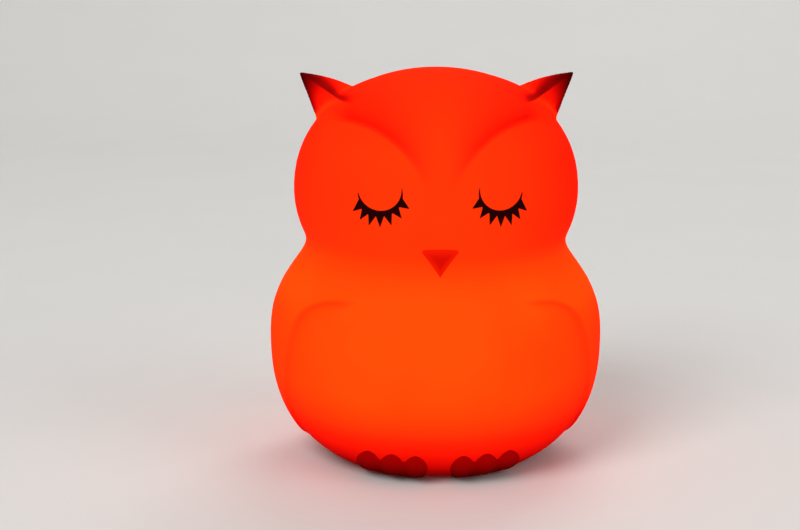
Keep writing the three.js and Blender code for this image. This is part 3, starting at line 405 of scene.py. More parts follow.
ear_points = [np.array(p, float) for p in (EAR_TOP_CORNER, EAR_CREST_CORNER, EAR_OUTER_CORNER)]
ear_tip = np.array(EAR_TIP, float)
ear_middle = sum(ear_points) / 3
ear_axis = (ear_tip - ear_middle) / np.linalg.norm(ear_tip - ear_middle)
ear_length = np.linalg.norm(ear_tip - ear_middle)


def ear_planes():
    """For each facet: its outward normal, the way across it and half its width at the root."""
    planes = []
    for side in range(3):
        a, b = ear_points[side], ear_points[(side + 1) % 3]
        normal = np.cross(b - a, ear_tip - a)
        normal /= np.linalg.norm(normal)
        if normal @ (ear_middle - a) > 0:
            normal = -normal
        spine = ear_tip - (a + b) / 2
        spine /= np.linalg.norm(spine)
        planes.append((normal, np.cross(normal, spine), np.linalg.norm(b - a) / 2))
    return planes


ear_facets = ear_planes()
# How far the top corner at the root stands over the lower facet
ear_section = (ear_tip - ear_points[0]) @ ear_facets[1][0]


def ear_along(x, y, z):
    """0 at the ear's root and 1 at its tip."""
    from_middle = [c - m for c, m in zip((x, y, z), ear_middle)]
    return sum(f * a for f, a in zip(from_middle, ear_axis)) / ear_length


def facet_distance(x, y, z, side):
    normal, across, half = ear_facets[side]
    from_tip = [c - t for c, t in zip((x, y, z), ear_tip)]
    out = sum(f * n for f, n in zip(from_tip, normal))
    sideways = sum(f * a for f, a in zip(from_tip, across))
    width = np.maximum(half * (1 - ear_along(x, y, z)), CRISP)
    rise = np.maximum(1 - (sideways / width) ** 2, EAR_CROWN_LIMIT)
    return out - EAR_CROWN_SHARES[side] * 2 * width * rise


def ear_bow(x, y, z):
    """How far the ear is bowed upwards: most halfway along its top edge."""
    along = np.clip(ear_along(x, y, z), 0, 1)
    depth = sum((t - c) * n for t, c, n in zip(ear_tip, (x, y, z), ear_facets[1][0]))
    share = np.clip(depth / (ear_section * np.maximum(1 - along, TINY)), 0, 1)
    return 4 * EAR_TOP_BOW * along * (1 - along) * share


def ear_field(x, y, z):
    side = np.abs(x)
    z = z - ear_bow(side, y, z)
    upper, lower, back = (facet_distance(side, y, z, facet) for facet in range(3))
    field = soft_max(soft_max(upper, lower, EAR_EDGE_ROUND), back, EAR_EDGE_ROUND)
    root = -(ear_along(side, y, z) + EAR_SINK_SHARE) * ear_length
    return np.maximum(field, root)


def rounded_box(u, v, width, height, corner):
    out_u = np.abs(u) - width / 2 + corner
    out_v = np.abs(v) - height / 2 + corner
    outside = np.hypot(np.maximum(out_u, 0), np.maximum(out_v, 0))
    return outside + np.minimum(np.maximum(out_u, out_v), 0) - corner


def skin_outside(x, y, z):
    body = body_field(x, y, z)
    return body, soft_min(body - relief(x, y, z), ear_field(x, y, z), EAR_FILLET)


def skin_field(x, y, z):
    body, outer = skin_outside(x, y, z)
    outer = soft_max(outer, RIM_HEIGHT - z, RIM_ROUND)
    ear_hollow = np.maximum(
        ear_field(x, y, z) + WALL, (ear_along(np.abs(x), y, z) - EAR_HOLLOW_SHARE) * ear_length
    )
    hollow = np.minimum(soft_max(body + WALL, LIP_TOP - z, CRISP), ear_hollow)
    plan = np.hypot(x, y)
    opening = np.maximum(plan - NECK_OUTER_RADIUS - GAP, z - LIP_TOP - WALL)
    rebate = np.maximum(plan - COVER_RADIUS - GAP, z - COVER_TOP - GAP)
    field = outer
    for space in (hollow, opening, rebate):
        field = soft_max(field, -space, CRISP)
    up = z - PANEL_HEIGHT
    surround = np.maximum(
        rounded_box(x, up, RECESS_WIDTH + 2 * WALL, RECESS_HEIGHT + 2 * WALL, RECESS_CORNER + WALL),
        RECESS_FLOOR_BACK - y,
    )
    field = np.minimum(field, np.maximum(surround, outer))
    pocket = soft_max(
        rounded_box(x, up, RECESS_WIDTH, RECESS_HEIGHT, RECESS_CORNER), RECESS_FLOOR - y, CRISP
    )
    throat = np.maximum(
        rounded_box(x, up, THROAT_WIDTH, THROAT_HEIGHT, THROAT_CORNER),
        RECESS_FLOOR_BACK - WALL - y,
    )
    return soft_max(soft_max(field, -pocket, RECESS_LIP), -throat, CRISP)


def lash_field(x, y, z):
    """Seen from the front: a crescent with thin ends, and seven pointed lashes under it."""
    across = np.abs(x) - EYE_OFFSET
    up = z - EYE_CENTRE_HEIGHT
    radius = np.hypot(across, up)
    turn = (np.degrees(np.arctan2(up, across)) % 360) - STRAIGHT_DOWN + LID_TILT
    share = np.clip(np.abs(turn) / (LID_SWEEP / 2), 0, 1)
    taper = np.maximum(1 - share**2, 0) ** LID_TAPER_POWER
    half = (LID_END_THICKNESS + (LID_THICKNESS - LID_END_THICKNESS) * taper) / 2
    out = np.abs(radius - EYE_RADIUS - half) - half
    beyond = (np.abs(turn) - LID_SWEEP / 2) * math.pi / 180 * EYE_RADIUS
    outline = np.maximum(out, beyond)
    for angle, reach in LASHES:
        way = math.radians(STRAIGHT_DOWN + angle)
        along = across * math.cos(way) + up * math.sin(way)
        aside = np.abs(across * math.sin(way) - up * math.cos(way))
        left = EYE_RADIUS + reach - along
        slope = LASH_HALF_BASE / reach
        wedge = (aside - left * slope) / math.hypot(1, slope)
        outline = np.minimum(outline, np.maximum(wedge, EYE_RADIUS - along))
    plate = np.abs(body_field(x, y, z) - relief(x, y, z)) - LASH_RISE
    return soft_max(np.maximum(plate, y), outline, CRISP / 2)


def beak_field(x, y, z):
    """A low inverted pyramid with soft corners, highest about a third of the way down."""
    drop = BEAK_TOP_HEIGHT - BEAK_TIP_HEIGHT
    slant = math.hypot(drop, BEAK_HALF_WIDTH)
    top = z - BEAK_TOP_HEIGHT + BEAK_ARCH * np.abs(x / BEAK_HALF_WIDTH) ** 3
    side = (np.abs(x) * drop - (z - BEAK_TIP_HEIGHT) * BEAK_HALF_WIDTH) / slant
    outline = soft_max(side, top, BEAK_CORNER)
    front = body_field(x, y, z)
    lean = BEAK_REACH / (drop / 3)
    roof = (front + outline * lean) / math.hypot(1, lean)
    edge = soft_max(outline, roof, BEAK_ROUND)
    return np.maximum(np.maximum(edge, -front - WALL / 2), y)


def toe_offset(x, z):
    """How far the toes and the web between them stand out of the body."""
    out = np.full(np.shape(x), -GAP)
    for place, top, rise in zip(TOE_OFFSETS, TOE_TOPS, TOE_RISES):
        end = np.where(z > TOE_CENTRE_HEIGHT, top, TOE_BOTTOM)
        up = (z - TOE_CENTRE_HEIGHT) / (end - TOE_CENTRE_HEIGHT)
        left = 1 - np.abs((x - place) / TOE_HALF_WIDTH) ** TOE_POINT_POWER - up**2
        out = soft_max(out, rise * np.sqrt(np.maximum(left, 0)) - GAP * (left <= 0), GAP)
    near = smooth((x - TOE_OFFSETS[0] + TOE_HALF_WIDTH) / TOE_SIDE_FADE)
    far = smooth((TOE_OFFSETS[-1] + TOE_HALF_WIDTH - x) / TOE_SIDE_FADE)
    share = near * far * smooth((WEB_TOP_HEIGHT - z) / WEB_FADE)
    return np.maximum(out, np.interp(x, TOE_OFFSETS, WEB_RISES) * share - GAP * (1 - share))


def foot_field(x, y, z):
    body = body_field(x, y, z)
    field = body - toe_offset(np.abs(x), z)
    field = soft_max(field, RIM_HEIGHT - z, RIM_ROUND)
    return np.maximum(np.maximum(field, -body - WALL / 2), y)


# Meshes made from fields


def gradient(field, points, step):
    slopes = []
    for axis in range(3):
        shift = np.zeros(3)
        shift[axis] = step
        ahead, behind = points + shift, points - shift
        slopes.append((field(*ahead.T) - field(*behind.T)) / (2 * step))
    return np.column_stack(slopes)


def banded(field, axes, step):
    """Field values on a fine grid, worked out in full only near the surface."""
    values = field(*np.meshgrid(*(axis[::BAND_STRIDE] for axis in axes), indexing="ij"))
    for axis, places in enumerate(axes):
        values = np.take(values.repeat(BAND_STRIDE, axis), np.arange(len(places)), axis)
    near = np.nonzero(np.abs(values) < BAND_REACH * step)
    values[near] = field(*(axis[index] for axis, index in zip(axes, near)))
    return values.astype(np.float32)


def mesh_of(name, field, box, step, merging=0.0):
    """The surface where the field is zero, with its corners moved onto it, and those corners.

    Slopes are taken over an eighth of a step to each side, and no move is over a third of one.
    """
    low, high = box
    axes = [np.arange(a, b + step, step) for a, b in zip(low, high)]
    grid = openvdb.FloatGrid(float(step))
    grid.copyFromArray(banded(field, axes, step))
    places, triangles, quads = grid.convertToPolygons(isovalue=0.0, adaptivity=merging)
    points = places.astype(float) * step + np.array(low, float)
    for _ in range(SETTLE_ROUNDS):
        slope = gradient(field, points, step / 8)
        length = np.maximum((slope**2).sum(1), LEAST_SLOPE_SQUARED)
        move = -(field(*points.T) / length)[:, None] * slope
        times_too_far = np.maximum(np.linalg.norm(move, axis=1) / (step / 3), 1)
        points += move / times_too_far[:, None]
    a, b, c, d = (points[quads[:, i]] for i in range(4))
    if np.einsum("ij,ij->", a, np.cross(b, c) + np.cross(c, d)) < 0:
        quads, triangles = quads[:, ::-1], triangles[:, ::-1]
    corners = np.concatenate([quads.ravel(), triangles.ravel()]).astype(np.int32)
    sizes = np.repeat([4, 3], [len(quads), len(triangles)]).astype(np.int32)
    mesh = bpy.data.meshes.new(name)
    mesh.vertices.add(len(points))
    mesh.vertices.foreach_set("co", (points * MM).ravel())
    mesh.loops.add(len(corners))
    mesh.loops.foreach_set("vertex_index", corners)
    mesh.polygons.add(len(sizes))
    mesh.polygons.foreach_set("loop_start", (np.cumsum(sizes) - sizes).astype(np.int32))
    mesh.polygons.foreach_set("loop_total", sizes)
    mesh.update(calc_edges=True)
    mesh.validate()
    mesh.shade_smooth()
    normals = gradient(field, points, step / 8)
    normals /= np.linalg.norm(normals, axis=1)[:, None]
    mesh.normals_split_custom_set_from_vertices(normals)
    return mesh, points


def keep(mesh, name, values):
    """Store one number for each corner, for the material to read."""
    attribute = mesh.attributes.new(name, "FLOAT", "POINT")
    attribute.data.foreach_set("value", np.asarray(values, np.float32))


def add_piece(name, mesh, body, slot, *nodes):
    piece = bpy.data.objects.new(name, mesh)
    bpy.context.scene.collection.objects.link(piece)
    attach(piece, body)
    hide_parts(*nodes)
    mesh.materials.append(MATERIALS[slot])


# Materials


def linear(red, green, blue):
    """A colour given as 0 to 255 on screen, in the scale that shaders use."""
    shares = [channel / 255 for channel in (red, green, blue)]
    return [s / 12.92 if s <= 0.04045 else ((s + 0.055) / 1.055) ** 2.4 for s in shares] + [1]


def scaled(colour, factor):
    """A colour made darker or lighter."""
    return [channel * factor for channel in colour[:3]] + [1]


class Shade:
    """One material and the nodes that feed its shader."""

    def __init__(self, name):
        self.material = bpy.data.materials.new(name)
        self.material.use_nodes = True
        self.tree = self.material.node_tree
        self.shader = self.tree.nodes["Principled BSDF"]

    def set(self, **values):
        for name, value in values.items():
            socket = self.shader.inputs[name.replace("_", " ")]
            if isinstance(value, bpy.types.NodeSocket):
                self.tree.links.new(value, socket)
            else:
                socket.default_value = value

    def node(self, kind, *feeds, output=0, **settings):
        made = self.tree.nodes.new(kind)
        for name, value in settings.items():
            setattr(made, name, value)
        for socket, value in feeds:
            if isinstance(value, bpy.types.NodeSocket):
                self.tree.links.new(value, made.inputs[socket])
            else:
                made.inputs[socket].default_value = value
        return made.outputs[output]

    def attribute(self, name):
        return self.node("ShaderNodeAttribute", attribute_name=name, output="Fac")

    def math(self, operation, a, b=0.0):
        return self.node("ShaderNodeMath", (0, a), (1, b), operation=operation)

    def between(self, value, low, high, start=0.0, end=1.0):
        return self.node(
            "ShaderNodeMapRange",
            ("Value", value),
            ("From Min", low),
            ("From Max", high),
            ("To Min", start),
            ("To Max", end),
            interpolation_type="SMOOTHSTEP",
        )

    def place(self):
        return self.node("ShaderNodeTexCoord", output="Object")

    def noise(self, size, detail=3.0, roughness=0.5):
        """Noise whose grain has a size in millimetres."""
        return self.node(
            "ShaderNodeTexNoise",
            ("Vector", self.place()),
            ("Scale", 1 / (size * MM)),
            ("Detail", detail),
            ("Roughness", roughness),
        )

    def ramp(self, value, stops):
        """A colour ramp: its first two stops are the two ends that it starts with."""
        made = self.tree.nodes.new("ShaderNodeValToRGB")
        self.tree.links.new(value, made.inputs[0])
        elements = made.color_ramp.elements
        for index, (place, colour) in enumerate(stops):
            element = elements[index] if index < 2 else elements.new(place)
            element.position = place
            element.color = colour
        return made.outputs[0]

    def mix(self, share, first, second):
        return self.node(
            "ShaderNodeMix", (0, share), (6, first), (7, second), data_type="RGBA", output=2
        )

    def bump(self, height, depth, strength=1.0):
        """Relief of a depth in millimetres."""
        feeds = (("Height", height), ("Distance", depth * MM), ("Strength", strength))
        self.set(Normal=self.node("ShaderNodeBump", *feeds))


# Colour of the skin's light by how much of it is left; both ends come first
GLOW_STOPS = [
    (0, linear(22, 0, 0)),
    (1, linear(254, 84, 7)),
    (0.03, linear(60, 0, 0)),
    (0.07, linear(112, 0, 1)),
    (0.11, linear(150, 0, 2)),
    (0.16, linear(196, 2, 1)),
    (0.21, linear(236, 8, 2)),
    (0.28, linear(252, 20, 2)),
    (0.4, linear(254, 33, 4)),
    (0.55, linear(254, 46, 6)),
    (0.7, linear(254, 58, 6)),
    (0.85, linear(254, 71, 5)),
]


def silicone(shade, colour, light, smoothest, roughest):
    """Matt silicone with a fine grain that gives off light."""
    grain = shade.noise(0.5, 4.0, 0.6)
    shade.set(
        Base_Color=colour,
        Roughness=shade.between(grain, 0.3, 0.7, smoothest, roughest),
        Specular_IOR_Level=SILICONE_GLOSS,
        Emission_Color=light,
        Emission_Strength=SILICONE_LIGHT,
    )
    shade.bump(grain, 0.02, 0.4)
    return shade.material


def skin_silicone():
    """Translucent silicone lit from inside, darker along the brow, the wing and the ear's crest."""
    shade = Shade("skin_silicone")
    glow = shade.attribute("glow")
    for strength, across, start, full, depth in SKIN_SHADES:
        edge = shade.between(shade.attribute(across), start, full)
        dark = shade.math("MULTIPLY", shade.attribute(strength), edge)
        left = shade.math("SUBTRACT", 1.0, shade.math("MULTIPLY", dark, depth))
        glow = shade.math("MULTIPLY", glow, left)
    cloud = shade.between(shade.noise(34, 2.0), 0.3, 0.7, 0.97, 1.03)
    glow = shade.math("MULTIPLY", glow, cloud)
    # The base colour is painted light and shade: a dimmer copy of the glow's red, which turns dark
    # red where the glow is weak
    painted_glow_tint = shade.mix(shade.noise(9, 3.0), linear(158, 14, 3), linear(168, 17, 4))
    colour = shade.mix(shade.between(glow, 0.02, 0.4), linear(40, 1, 1), painted_glow_tint)
    return silicone(shade, colour, shade.ramp(glow, GLOW_STOPS), 0.6, 0.72)


def tinted_silicone(name, colour, glow_low, glow_high, size):
    """Thicker silicone that lets less light through, clouded inside."""
    shade = Shade(name)
    light = shade.mix(shade.attribute("glow"), glow_low, glow_high)
    clouded = shade.mix(shade.noise(size, 2.0), colour, scaled(colour, 0.8))
    return silicone(shade, clouded, light, 0.58, 0.7)


def print_ink(name, colour):
    """Matt ink that a little of the light shines through."""
    shade = Shade(name)
    grain = shade.noise(0.18, 5.0, 0.7)
    shade.set(
        Base_Color=shade.mix(grain, colour, scaled(colour, 1.6)),
        Roughness=shade.between(grain, 0.3, 0.7, 0.7, 0.85),
        Specular_IOR_Level=INK_GLOSS,
        Emission_Color=linear(30, 0, 0),
        Emission_Strength=INK_LIGHT,
    )
    shade.bump(grain, 0.02, 0.5)
    return shade.material


def plastic(name, colour, roughness, grain_size=0.35, depth=0.012):
    """Moulded plastic with a fine spark-eroded grain and slight flow marks."""
    shade = Shade(name)
    grain = shade.noise(grain_size, 4.0, 0.65)
    flow = shade.noise(14, 2.0)
    shade.set(
        Base_Color=shade.mix(flow, colour, scaled(colour, 0.93)),
        Roughness=shade.between(grain, 0.25, 0.75, roughness - 0.06, roughness + 0.08),
    )
    shade.bump(grain, depth)
    return shade.material


def rubber(name, colour):
    """Dull rubber with a coarse grain."""
    shade = Shade(name)
    grain = shade.noise(0.28, 6.0, 0.7)
    shade.set(
        Base_Color=shade.mix(shade.noise(5, 3.0), colour, scaled(colour, 0.8)),
        Roughness=shade.between(grain, 0.2, 0.8, 0.75, 0.95),
        Specular_IOR_Level=0.3,
    )
    shade.bump(grain, 0.03)
    return shade.material


def metal(name, colour, roughness):
    """Metal with fine marks that lie level."""
    shade = Shade(name)
    stretched = shade.node(
        "ShaderNodeMapping", ("Vector", shade.place()), ("Scale", Vector((1, 1, 9)))
    )
    feeds = (("Vector", stretched), ("Scale", 900), ("Detail", 4.0))
    brushed = shade.node("ShaderNodeTexNoise", *feeds)
    shade.set(
        Base_Color=shade.mix(shade.noise(2.2), colour, scaled(colour, 0.8)),
        Metallic=1.0,
        Roughness=shade.between(brushed, 0.25, 0.75, roughness - 0.06, roughness + 0.12),
    )
    shade.bump(brushed, 0.006)
    return shade.material


def board(name, mask, track):
    """A circuit board: tracks that show faintly through the solder mask."""
    shade = Shade(name)
    tracks = shade.node(
        "ShaderNodeTexBrick",
        ("Vector", shade.place()),
        ("Scale", 420),
        ("Mortar Size", 0.035),
        ("Mortar Smooth", 0.4),
        output=1,
    )
    weave = shade.noise(0.4, 2.0)
    shade.set(
        Base_Color=shade.mix(tracks, mask, track),
        Roughness=shade.between(weave, 0.3, 0.7, 0.32, 0.42),
    )
    shade.bump(shade.math("ADD", tracks, shade.math("MULTIPLY", weave, 0.2)), 0.03)
    return shade.material


def foil(name, colour):
    """Creased metal foil."""
    shade = Shade(name)
    crease = shade.noise(4, 5.0, 0.6)
    shade.set(
        Base_Color=shade.mix(crease, colour, scaled(colour, 0.85)),
        Metallic=0.85,
        Roughness=shade.between(crease, 0.3, 0.7, 0.28, 0.42),
    )
    shade.bump(crease, 0.12)
    return shade.material


def foam(name, colour):
    """Foam with fine cells."""
    shade = Shade(name)
    cells = shade.node("ShaderNodeTexVoronoi", ("Vector", shade.place()), ("Scale", 2600))
    shade.set(
        Base_Color=shade.mix(cells, scaled(colour, 0.85), colour),
        Roughness=shade.between(cells, 0.0, 0.8, 0.95, 0.8),
    )
    shade.bump(cells, 0.08)
    return shade.material


def clear(name, colour):
    """Clear plastic, a little hazy."""
    shade = Shade(name)
    haze = shade.noise(0.6, 3.0)
    shade.set(
        Base_Color=shade.mix(haze, colour, scaled(colour, 0.92)),
        Roughness=shade.between(haze, 0.3, 0.7, 0.12, 0.24),
        Transmission_Weight=0.6,
    )
    shade.bump(haze, 0.01)
    return shade.material


def package(name, colour, phosphor):
    """A pale package with glossy patches of phosphor."""
    shade = Shade(name)
    patches = shade.between(shade.noise(1.6, 1.0), 0.45, 0.55)
    shade.set(
        Base_Color=shade.mix(patches, colour, phosphor),
        Roughness=shade.between(patches, 0.0, 1.0, 0.45, 0.2),
    )
    shade.bump(patches, 0.04)
    return shade.material


MATERIALS = {
    "skin_silicone": skin_silicone(),
    "lash_print": print_ink("lash_print", linear(14, 1, 1)),
    "beak_silicone": tinted_silicone(
        "beak_silicone", linear(96, 4, 2), linear(222, 12, 0), linear(252, 26, 2), 6
    ),
    "toe_silicone": tinted_silicone(
        "toe_silicone", linear(48, 1, 1), linear(60, 0, 0), linear(168, 1, 1), 5
    ),
    "white_abs": plastic("white_abs", linear(233, 231, 225), 0.42),
    "grey_rubber": rubber("grey_rubber", linear(112, 112, 110)),
    "screw_steel": metal("screw_steel", linear(196, 198, 202), 0.28),
    "socket_steel": metal("socket_steel", linear(205, 207, 211), 0.22),
    "button_plastic": plastic("button_plastic", linear(206, 205, 201), 0.5),
    "black_plastic": plastic("black_plastic", linear(34, 34, 36), 0.45),
    "clear_plastic": clear("clear_plastic", linear(232, 238, 242)),
    "led_package": package("led_package", linear(240, 238, 230), linear(236, 206, 70)),
    "circuit_board": board("circuit_board", linear(24, 84, 50), linear(70, 128, 74)),
    "led_board_white": board("led_board_white", linear(232, 232, 228), linear(206, 206, 202)),
    "pouch_foil": foil("pouch_foil", linear(200, 203, 207)),
    "foam_tape": foam("foam_tape", linear(232, 230, 222)),
    "lead_red": plastic("lead_red", linear(186, 30, 26), 0.4, 0.5, 0.006),
    "lead_black": plastic("lead_black", linear(30, 30, 32), 0.4, 0.5, 0.006),
    "connector_nylon": plastic("connector_nylon", linear(236, 233, 222), 0.5, 0.3, 0.01),
    "frosted_diffuser": plastic("frosted_diffuser", linear(244, 242, 236), 0.6, 0.25, 0.02),
    "ribbon_pvc": plastic("ribbon_pvc", linear(158, 159, 161), 0.5, 0.8, 0.02),
}

# The material of each node; nodes that end in a number share one entry
SLOT_OF = {
    "owl_skin": "skin_silicone",
    "left_eyelashes": "lash_print",
    "right_eyelashes": "lash_print",
    "beak": "beak_silicone",
    "left_foot": "toe_silicone",
    "right_foot": "toe_silicone",
    "base_housing": "white_abs",
    "bottom_cover": "white_abs",
    "anti_slip_pad": "grey_rubber",
    "cover_screw": "screw_steel",
    "rear_bezel": "white_abs",
    "usb_socket": "socket_steel",
    "timer_button": "button_plastic",
    "button_switch": "black_plastic",
    "charge_light_pipe": "clear_plastic",
    "charge_led": "led_package",
    "port_board": "circuit_board",
    "battery_cell": "pouch_foil",
    "battery_tape": "foam_tape",
    "battery_lead_positive": "lead_red",
    "battery_lead_negative": "lead_black",
    "battery_connector": "connector_nylon",
    "control_board": "circuit_board",
    "slide_switch": "black_plastic",
    "switch_knob": "black_plastic",
    "mcu_chip": "black_plastic",
    "charge_chip": "black_plastic",
    "inductor": "black_plastic",
    "capacitor": "pouch_foil",
    "tap_sensor": "screw_steel",
    "board_screw": "screw_steel",
    "led_board": "led_board_white",
    "led": "led_package",
    "led_screw": "screw_steel",
    "diffuser_dome": "frosted_diffuser",
    "port_cable": "ribbon_pvc",
    "port_connector": "connector_nylon",
    "led_cable": "ribbon_pvc",
    "led_connector": "connector_nylon",
}


def dress_frame():
    """Each node that stays takes the material of its slot."""
    for name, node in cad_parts.items():
        slot = SLOT_OF.get(name) or SLOT_OF[name.rstrip("0123456789").rstrip("_")]
        node.data.materials.clear()
        node.data.materials.append(MATERIALS[slot])


# Pieces

# Light at each height of the form, as (height, share), from the rim up to the crown
LEVEL_LIGHT = (
    (0, 0.06),
    (5, 0.12),
    (7, 0.165),
    (12, 0.225),
    (17, 0.32),
    (20, 0.42),
    (22.5, 0.58),
    (26, 0.73),
    (33, 0.89),
    (38, 0.95),
    (52, 0.98),
    (62, 1),
    (76, 1),
    (82, 0.945),
    (88, 0.82),
    (94, 0.71),
    (116, 0.69),
    (130, 0.71),
    (142, 0.645),
    (158, 0.54),
)

# How strongly the light falls off to both sides at each height
SIDE_POWER = (
    (10, 0.6),
    (16, 1),
    (22, 2),
    (30, 1.5),
    (40, 1.15),
    (56, 1),
    (64, 0.75),
    (72, 0.2),
    (88, 0.2),
    (96, 1.5),
    (103, 1.8),
    (125, 1.8),
    (136, 1.3),
    (146, 0.7),
    (158, 0.5),
)

# Light along an ear, as (place from root to tip, share)
EAR_LIGHT = (
    (0.05, 1),
    (0.14, 0.85),
    (0.21, 0.7),
    (0.3, 0.6),
    (0.4, 0.5),
    (0.5, 0.4),
    (0.6, 0.3),
    (0.7, 0.22),
    (0.8, 0.15),
    (0.9, 0.1),
    (1, 0.07),
)

# An ear starts this far out of the form, over this far. It is darker by its outer edge, there is a
# bright line round its root, and a shade above its crest
EAR_STAND_START = 0.3
EAR_STAND_FADE = 2
EAR_EDGE_DARK = 0.72
EAR_EDGE_FADE = 2.8
EAR_ROOT_BRIGHT = 0.35
EAR_ROOT_FADE = 1.8
CREST_WIDTH = 1
CREST_ROOT = -0.3
CREST_ROOT_FADE = 0.22
CREST_FULL = 3
CREST_FADE = 9
CREST_SHARES = ((-0.2, 0.6), (-0.02, 0.9), (0.1, 1), (0.3, 0.95), (0.5, 0.7), (0.8, 0.6))

# Shade above the brow, by turn round the eye disc, and beside the wing's edge, by height
BROW_SHADE_FADES = ((110, 9), (136, 5), (150, 3.5))
BROW_SHADE_ANGLES = (79, 97, 127, 167)
WING_SHADE_FADES = ((55, 3), (66, 2.5), (71, 1.3))
WING_SHADE_SHARES = ((14, 0), (24, 0.15), (34, 0.4), (55, 0.45), (66, 0.85), (70, 1))

# Light across the form, as (place from its one side to the other, share). Near the crown, places
# are measured on at least this share of the head's width
LEAST_WIDTH_SHARE = 0.6
SIDE_LIGHT = (
    (-1, 0.74),
    (-0.9, 0.85),
    (-0.8, 0.9),
    (-0.6, 0.96),
    (-0.4, 1),
    (0.1, 0.99),
    (0.45, 0.93),
    (0.65, 0.86),
    (0.82, 0.77),
    (0.93, 0.68),
    (1, 0.6),
)


def light_at(place, stops):
    places, shares = zip(*stops)
    return np.interp(place, places, shares)


def ear_light(x, y, z):
    """Share of the head's light that is left by the ears, the way across their crest, and the
    strength of the shade above it."""
    side = np.abs(x)
    on_top = z > HEAD_CENTRE_HEIGHT
    stands = body_field(x, y, z) - relief(x, y, z)
    in_ear = smooth((stands - EAR_STAND_START) / EAR_STAND_FADE) * on_top
    root = EAR_ROOT_BRIGHT * np.exp(-((ear_field(x, y, z) / EAR_ROOT_FADE) ** 2)) * on_top
    z = z - ear_bow(side, y, z)
    upper, lower, back = (facet_distance(side, y, z, facet) for facet in range(3))
    crest = upper - lower
    edge = EAR_EDGE_DARK * np.exp(-np.maximum(-back, 0) / EAR_EDGE_FADE)
    edge *= crossing(-crest, CREST_WIDTH)
    edge *= smooth(1 + np.maximum(upper, lower) / EAR_EDGE_FADE)
    along = ear_along(side, y, z)
    left = light_at(along, EAR_LIGHT) * (1 - edge)
    near_crest = smooth((along - CREST_ROOT) / CREST_ROOT_FADE) * smooth(-back / WALL)
    near_crest *= on_top * (1 - smooth((crest - CREST_FULL) / CREST_FADE))
    near_crest *= light_at(along, CREST_SHARES)
    root *= (1 - in_ear) * (1 - near_crest * smooth(crest + CREST_WIDTH))
    return (1 - in_ear * (1 - left)) * (1 + root), crest, near_crest


def owl_skin():
    step = SKIN_STEP
    mesh, points = mesh_of("owl_skin_soft", skin_field, SKIN_BOX, step, SKIN_MERGING)
    x, y, z = points.T
    level = level_of(y, z)
    width = np.maximum(half_width(level), WALL)
    ear_left, crest, near_crest = ear_light(x, y, z)
    across = light_at(x / np.maximum(width, HEAD_HALF_WIDTH * LEAST_WIDTH_SHARE), SIDE_LIGHT)
    across = across ** light_at(level, SIDE_POWER)
    keep(mesh, "glow", light_at(level, LEVEL_LIGHT) * across * ear_left)
    rim = brow_rim(x, z)
    keep(mesh, "brow_rim", rim)
    window = brow_window(x, y, z, BROW_SHADE_ANGLES)
    fade = light_at(brow_turn(x, z), BROW_SHADE_FADES)
    keep(mesh, "brow_shade", window * np.exp(-np.maximum(rim, 0) / fade))
    beyond = -wing_table(np.abs(y), z)
    keep(mesh, "wing_edge", beyond)
    left = np.exp(-np.maximum(beyond, 0) / light_at(z, WING_SHADE_FADES))
    keep(mesh, "wing_shade", wing_share(x, y, z) * left * light_at(z, WING_SHADE_SHARES))
    keep(mesh, "crest", crest)
    keep(mesh, "crest_shade", near_crest)
    add_piece("owl_skin_soft", mesh, "lamp", "skin_silicone", "owl_skin")


def mirror(mesh):
    """Turn a piece of the left side into the one of the right side."""
    places = np.empty(len(mesh.vertices) * 3, np.float32)
    mesh.vertices.foreach_get("co", places)
    places[0::3] *= -1
    mesh.vertices.foreach_set("co", places)
    mesh.flip_normals()


def eyelashes():
    for side, name in ((1, "left_eyelashes"), (-1, "right_eyelashes")):
        mesh, _ = mesh_of(name + "_print", lash_field, LASH_BOX, LASH_STEP)
        if side < 0:
            mirror(mesh)
        add_piece(name + "_print", mesh, "lamp", "lash_print", name)


def beak():
    mesh, points = mesh_of("beak_soft", beak_field, BEAK_BOX, BEAK_STEP)
    rise = body_field(*points.T)
    keep(mesh, "glow", 1 - smooth((rise - BEAK_DARK_START) / BEAK_DARK_FADE))
    add_piece("beak_soft", mesh, "lamp", "beak_silicone", "beak")


def feet():
    for side, name in ((1, "left_foot"), (-1, "right_foot")):
        mesh, points = mesh_of(name + "_soft", foot_field, FOOT_BOX, FOOT_STEP)
        keep(mesh, "glow", smooth((points[:, 2] - TOE_LIGHT_START) / TOE_LIGHT_FADE))
        if side < 0:
            mirror(mesh)
        add_piece(name + "_soft", mesh, "lamp", "toe_silicone", name)


# Stage, lights and camera


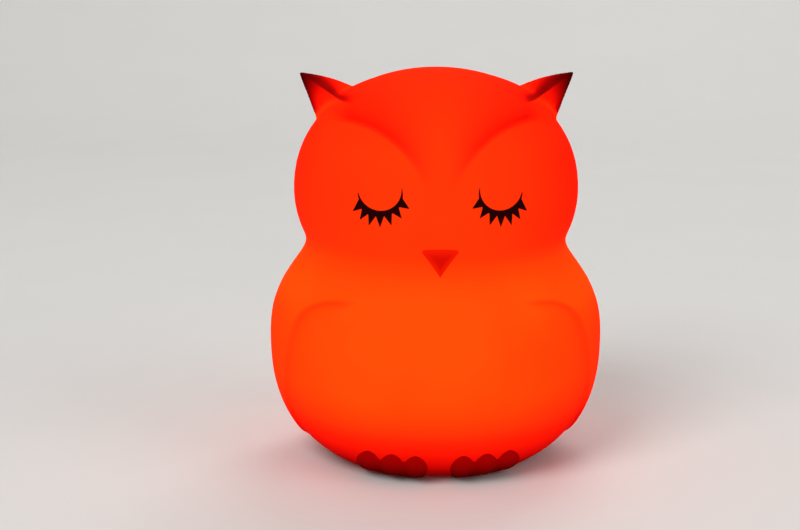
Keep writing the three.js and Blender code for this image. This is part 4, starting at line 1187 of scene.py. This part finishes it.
def stage():
    """A pale floor that sweeps up behind into a backdrop."""
    depth_points = [(FLOOR_FRONT, 0)]
    for step in range(BEND_STEPS + 1):
        turn = math.pi / 2 * step / BEND_STEPS
        rise = BEND_RADIUS * (1 - math.cos(turn))
        depth_points.append((BEND_START + BEND_RADIUS * math.sin(turn), rise))
    depth_points.append((BEND_START + BEND_RADIUS, BACKDROP_TOP))
    sides = (-FLOOR_HALF_WIDTH, FLOOR_HALF_WIDTH)
    corners = [(x * MM, y * MM, z * MM) for y, z in depth_points for x in sides]
    faces = [(2 * i, 2 * i + 1, 2 * i + 3, 2 * i + 2) for i in range(len(depth_points) - 1)]
    mesh = bpy.data.meshes.new("floor")
    mesh.from_pydata(corners, [], faces)
    mesh.shade_smooth()
    shade = Shade("floor")
    shade.set(
        Base_Color=shade.mix(shade.noise(60, 4.0), linear(222, 221, 218), linear(226, 225, 222)),
        Roughness=0.7,
        Specular_IOR_Level=0.3,
    )
    mesh.materials.append(shade.material)
    floor = bpy.data.objects.new("floor", mesh)
    bpy.context.scene.collection.objects.link(floor)


def add_light(name, place, size, power):
    """A round area light that faces the object; places and sizes are in metres."""
    light = bpy.data.lights.new(name, "AREA")
    light.shape = "DISK"
    light.size = size
    light.energy = power
    lamp = bpy.data.objects.new(name, light)
    lamp.location = place
    lamp.rotation_mode = "QUATERNION"
    lamp.rotation_quaternion = (Vector(LIGHT_TARGET) - Vector(place)).to_track_quat("-Z", "Y")
    bpy.context.scene.collection.objects.link(lamp)


def lights():
    add_light("key", (-0.9, -1.3, 1.5), 1.2, 24)
    add_light("fill", (1.5, -1.0, 0.9), 1.4, 9)
    add_light("rear", (0.4, 1.3, 1.4), 1.2, 12)
    world = bpy.data.worlds.new("studio")
    world.use_nodes = True
    background = world.node_tree.nodes["Background"]
    background.inputs["Color"].default_value = linear(226, 226, 226)
    background.inputs["Strength"].default_value = 0.45
    bpy.context.scene.world = world
    bpy.context.scene.view_settings.view_transform = "Standard"


def camera():
    data = bpy.data.cameras.new("camera")
    data.sensor_width = SENSOR_WIDTH
    data.lens = VIEW_LENS
    data.clip_start = 0.01
    data.clip_end = 50
    eye = bpy.data.objects.new("camera", data)
    turn, lift = math.radians(VIEW_AZIMUTH), math.radians(VIEW_ELEVATION)
    ahead = math.cos(turn) * math.cos(lift)
    back = Vector((math.sin(turn) * math.cos(lift), -ahead, math.sin(lift)))
    eye.location = (Vector(VIEW_TARGET) + back * VIEW_DISTANCE) * MM
    eye.rotation_mode = "QUATERNION"
    eye.rotation_quaternion = (-back).to_track_quat("-Z", "Y")
    bpy.context.scene.collection.objects.link(eye)
    bpy.context.scene.camera = eye


camera()
lights()
stage()
dress_frame()
owl_skin()
eyelashes()
beak()
feet()
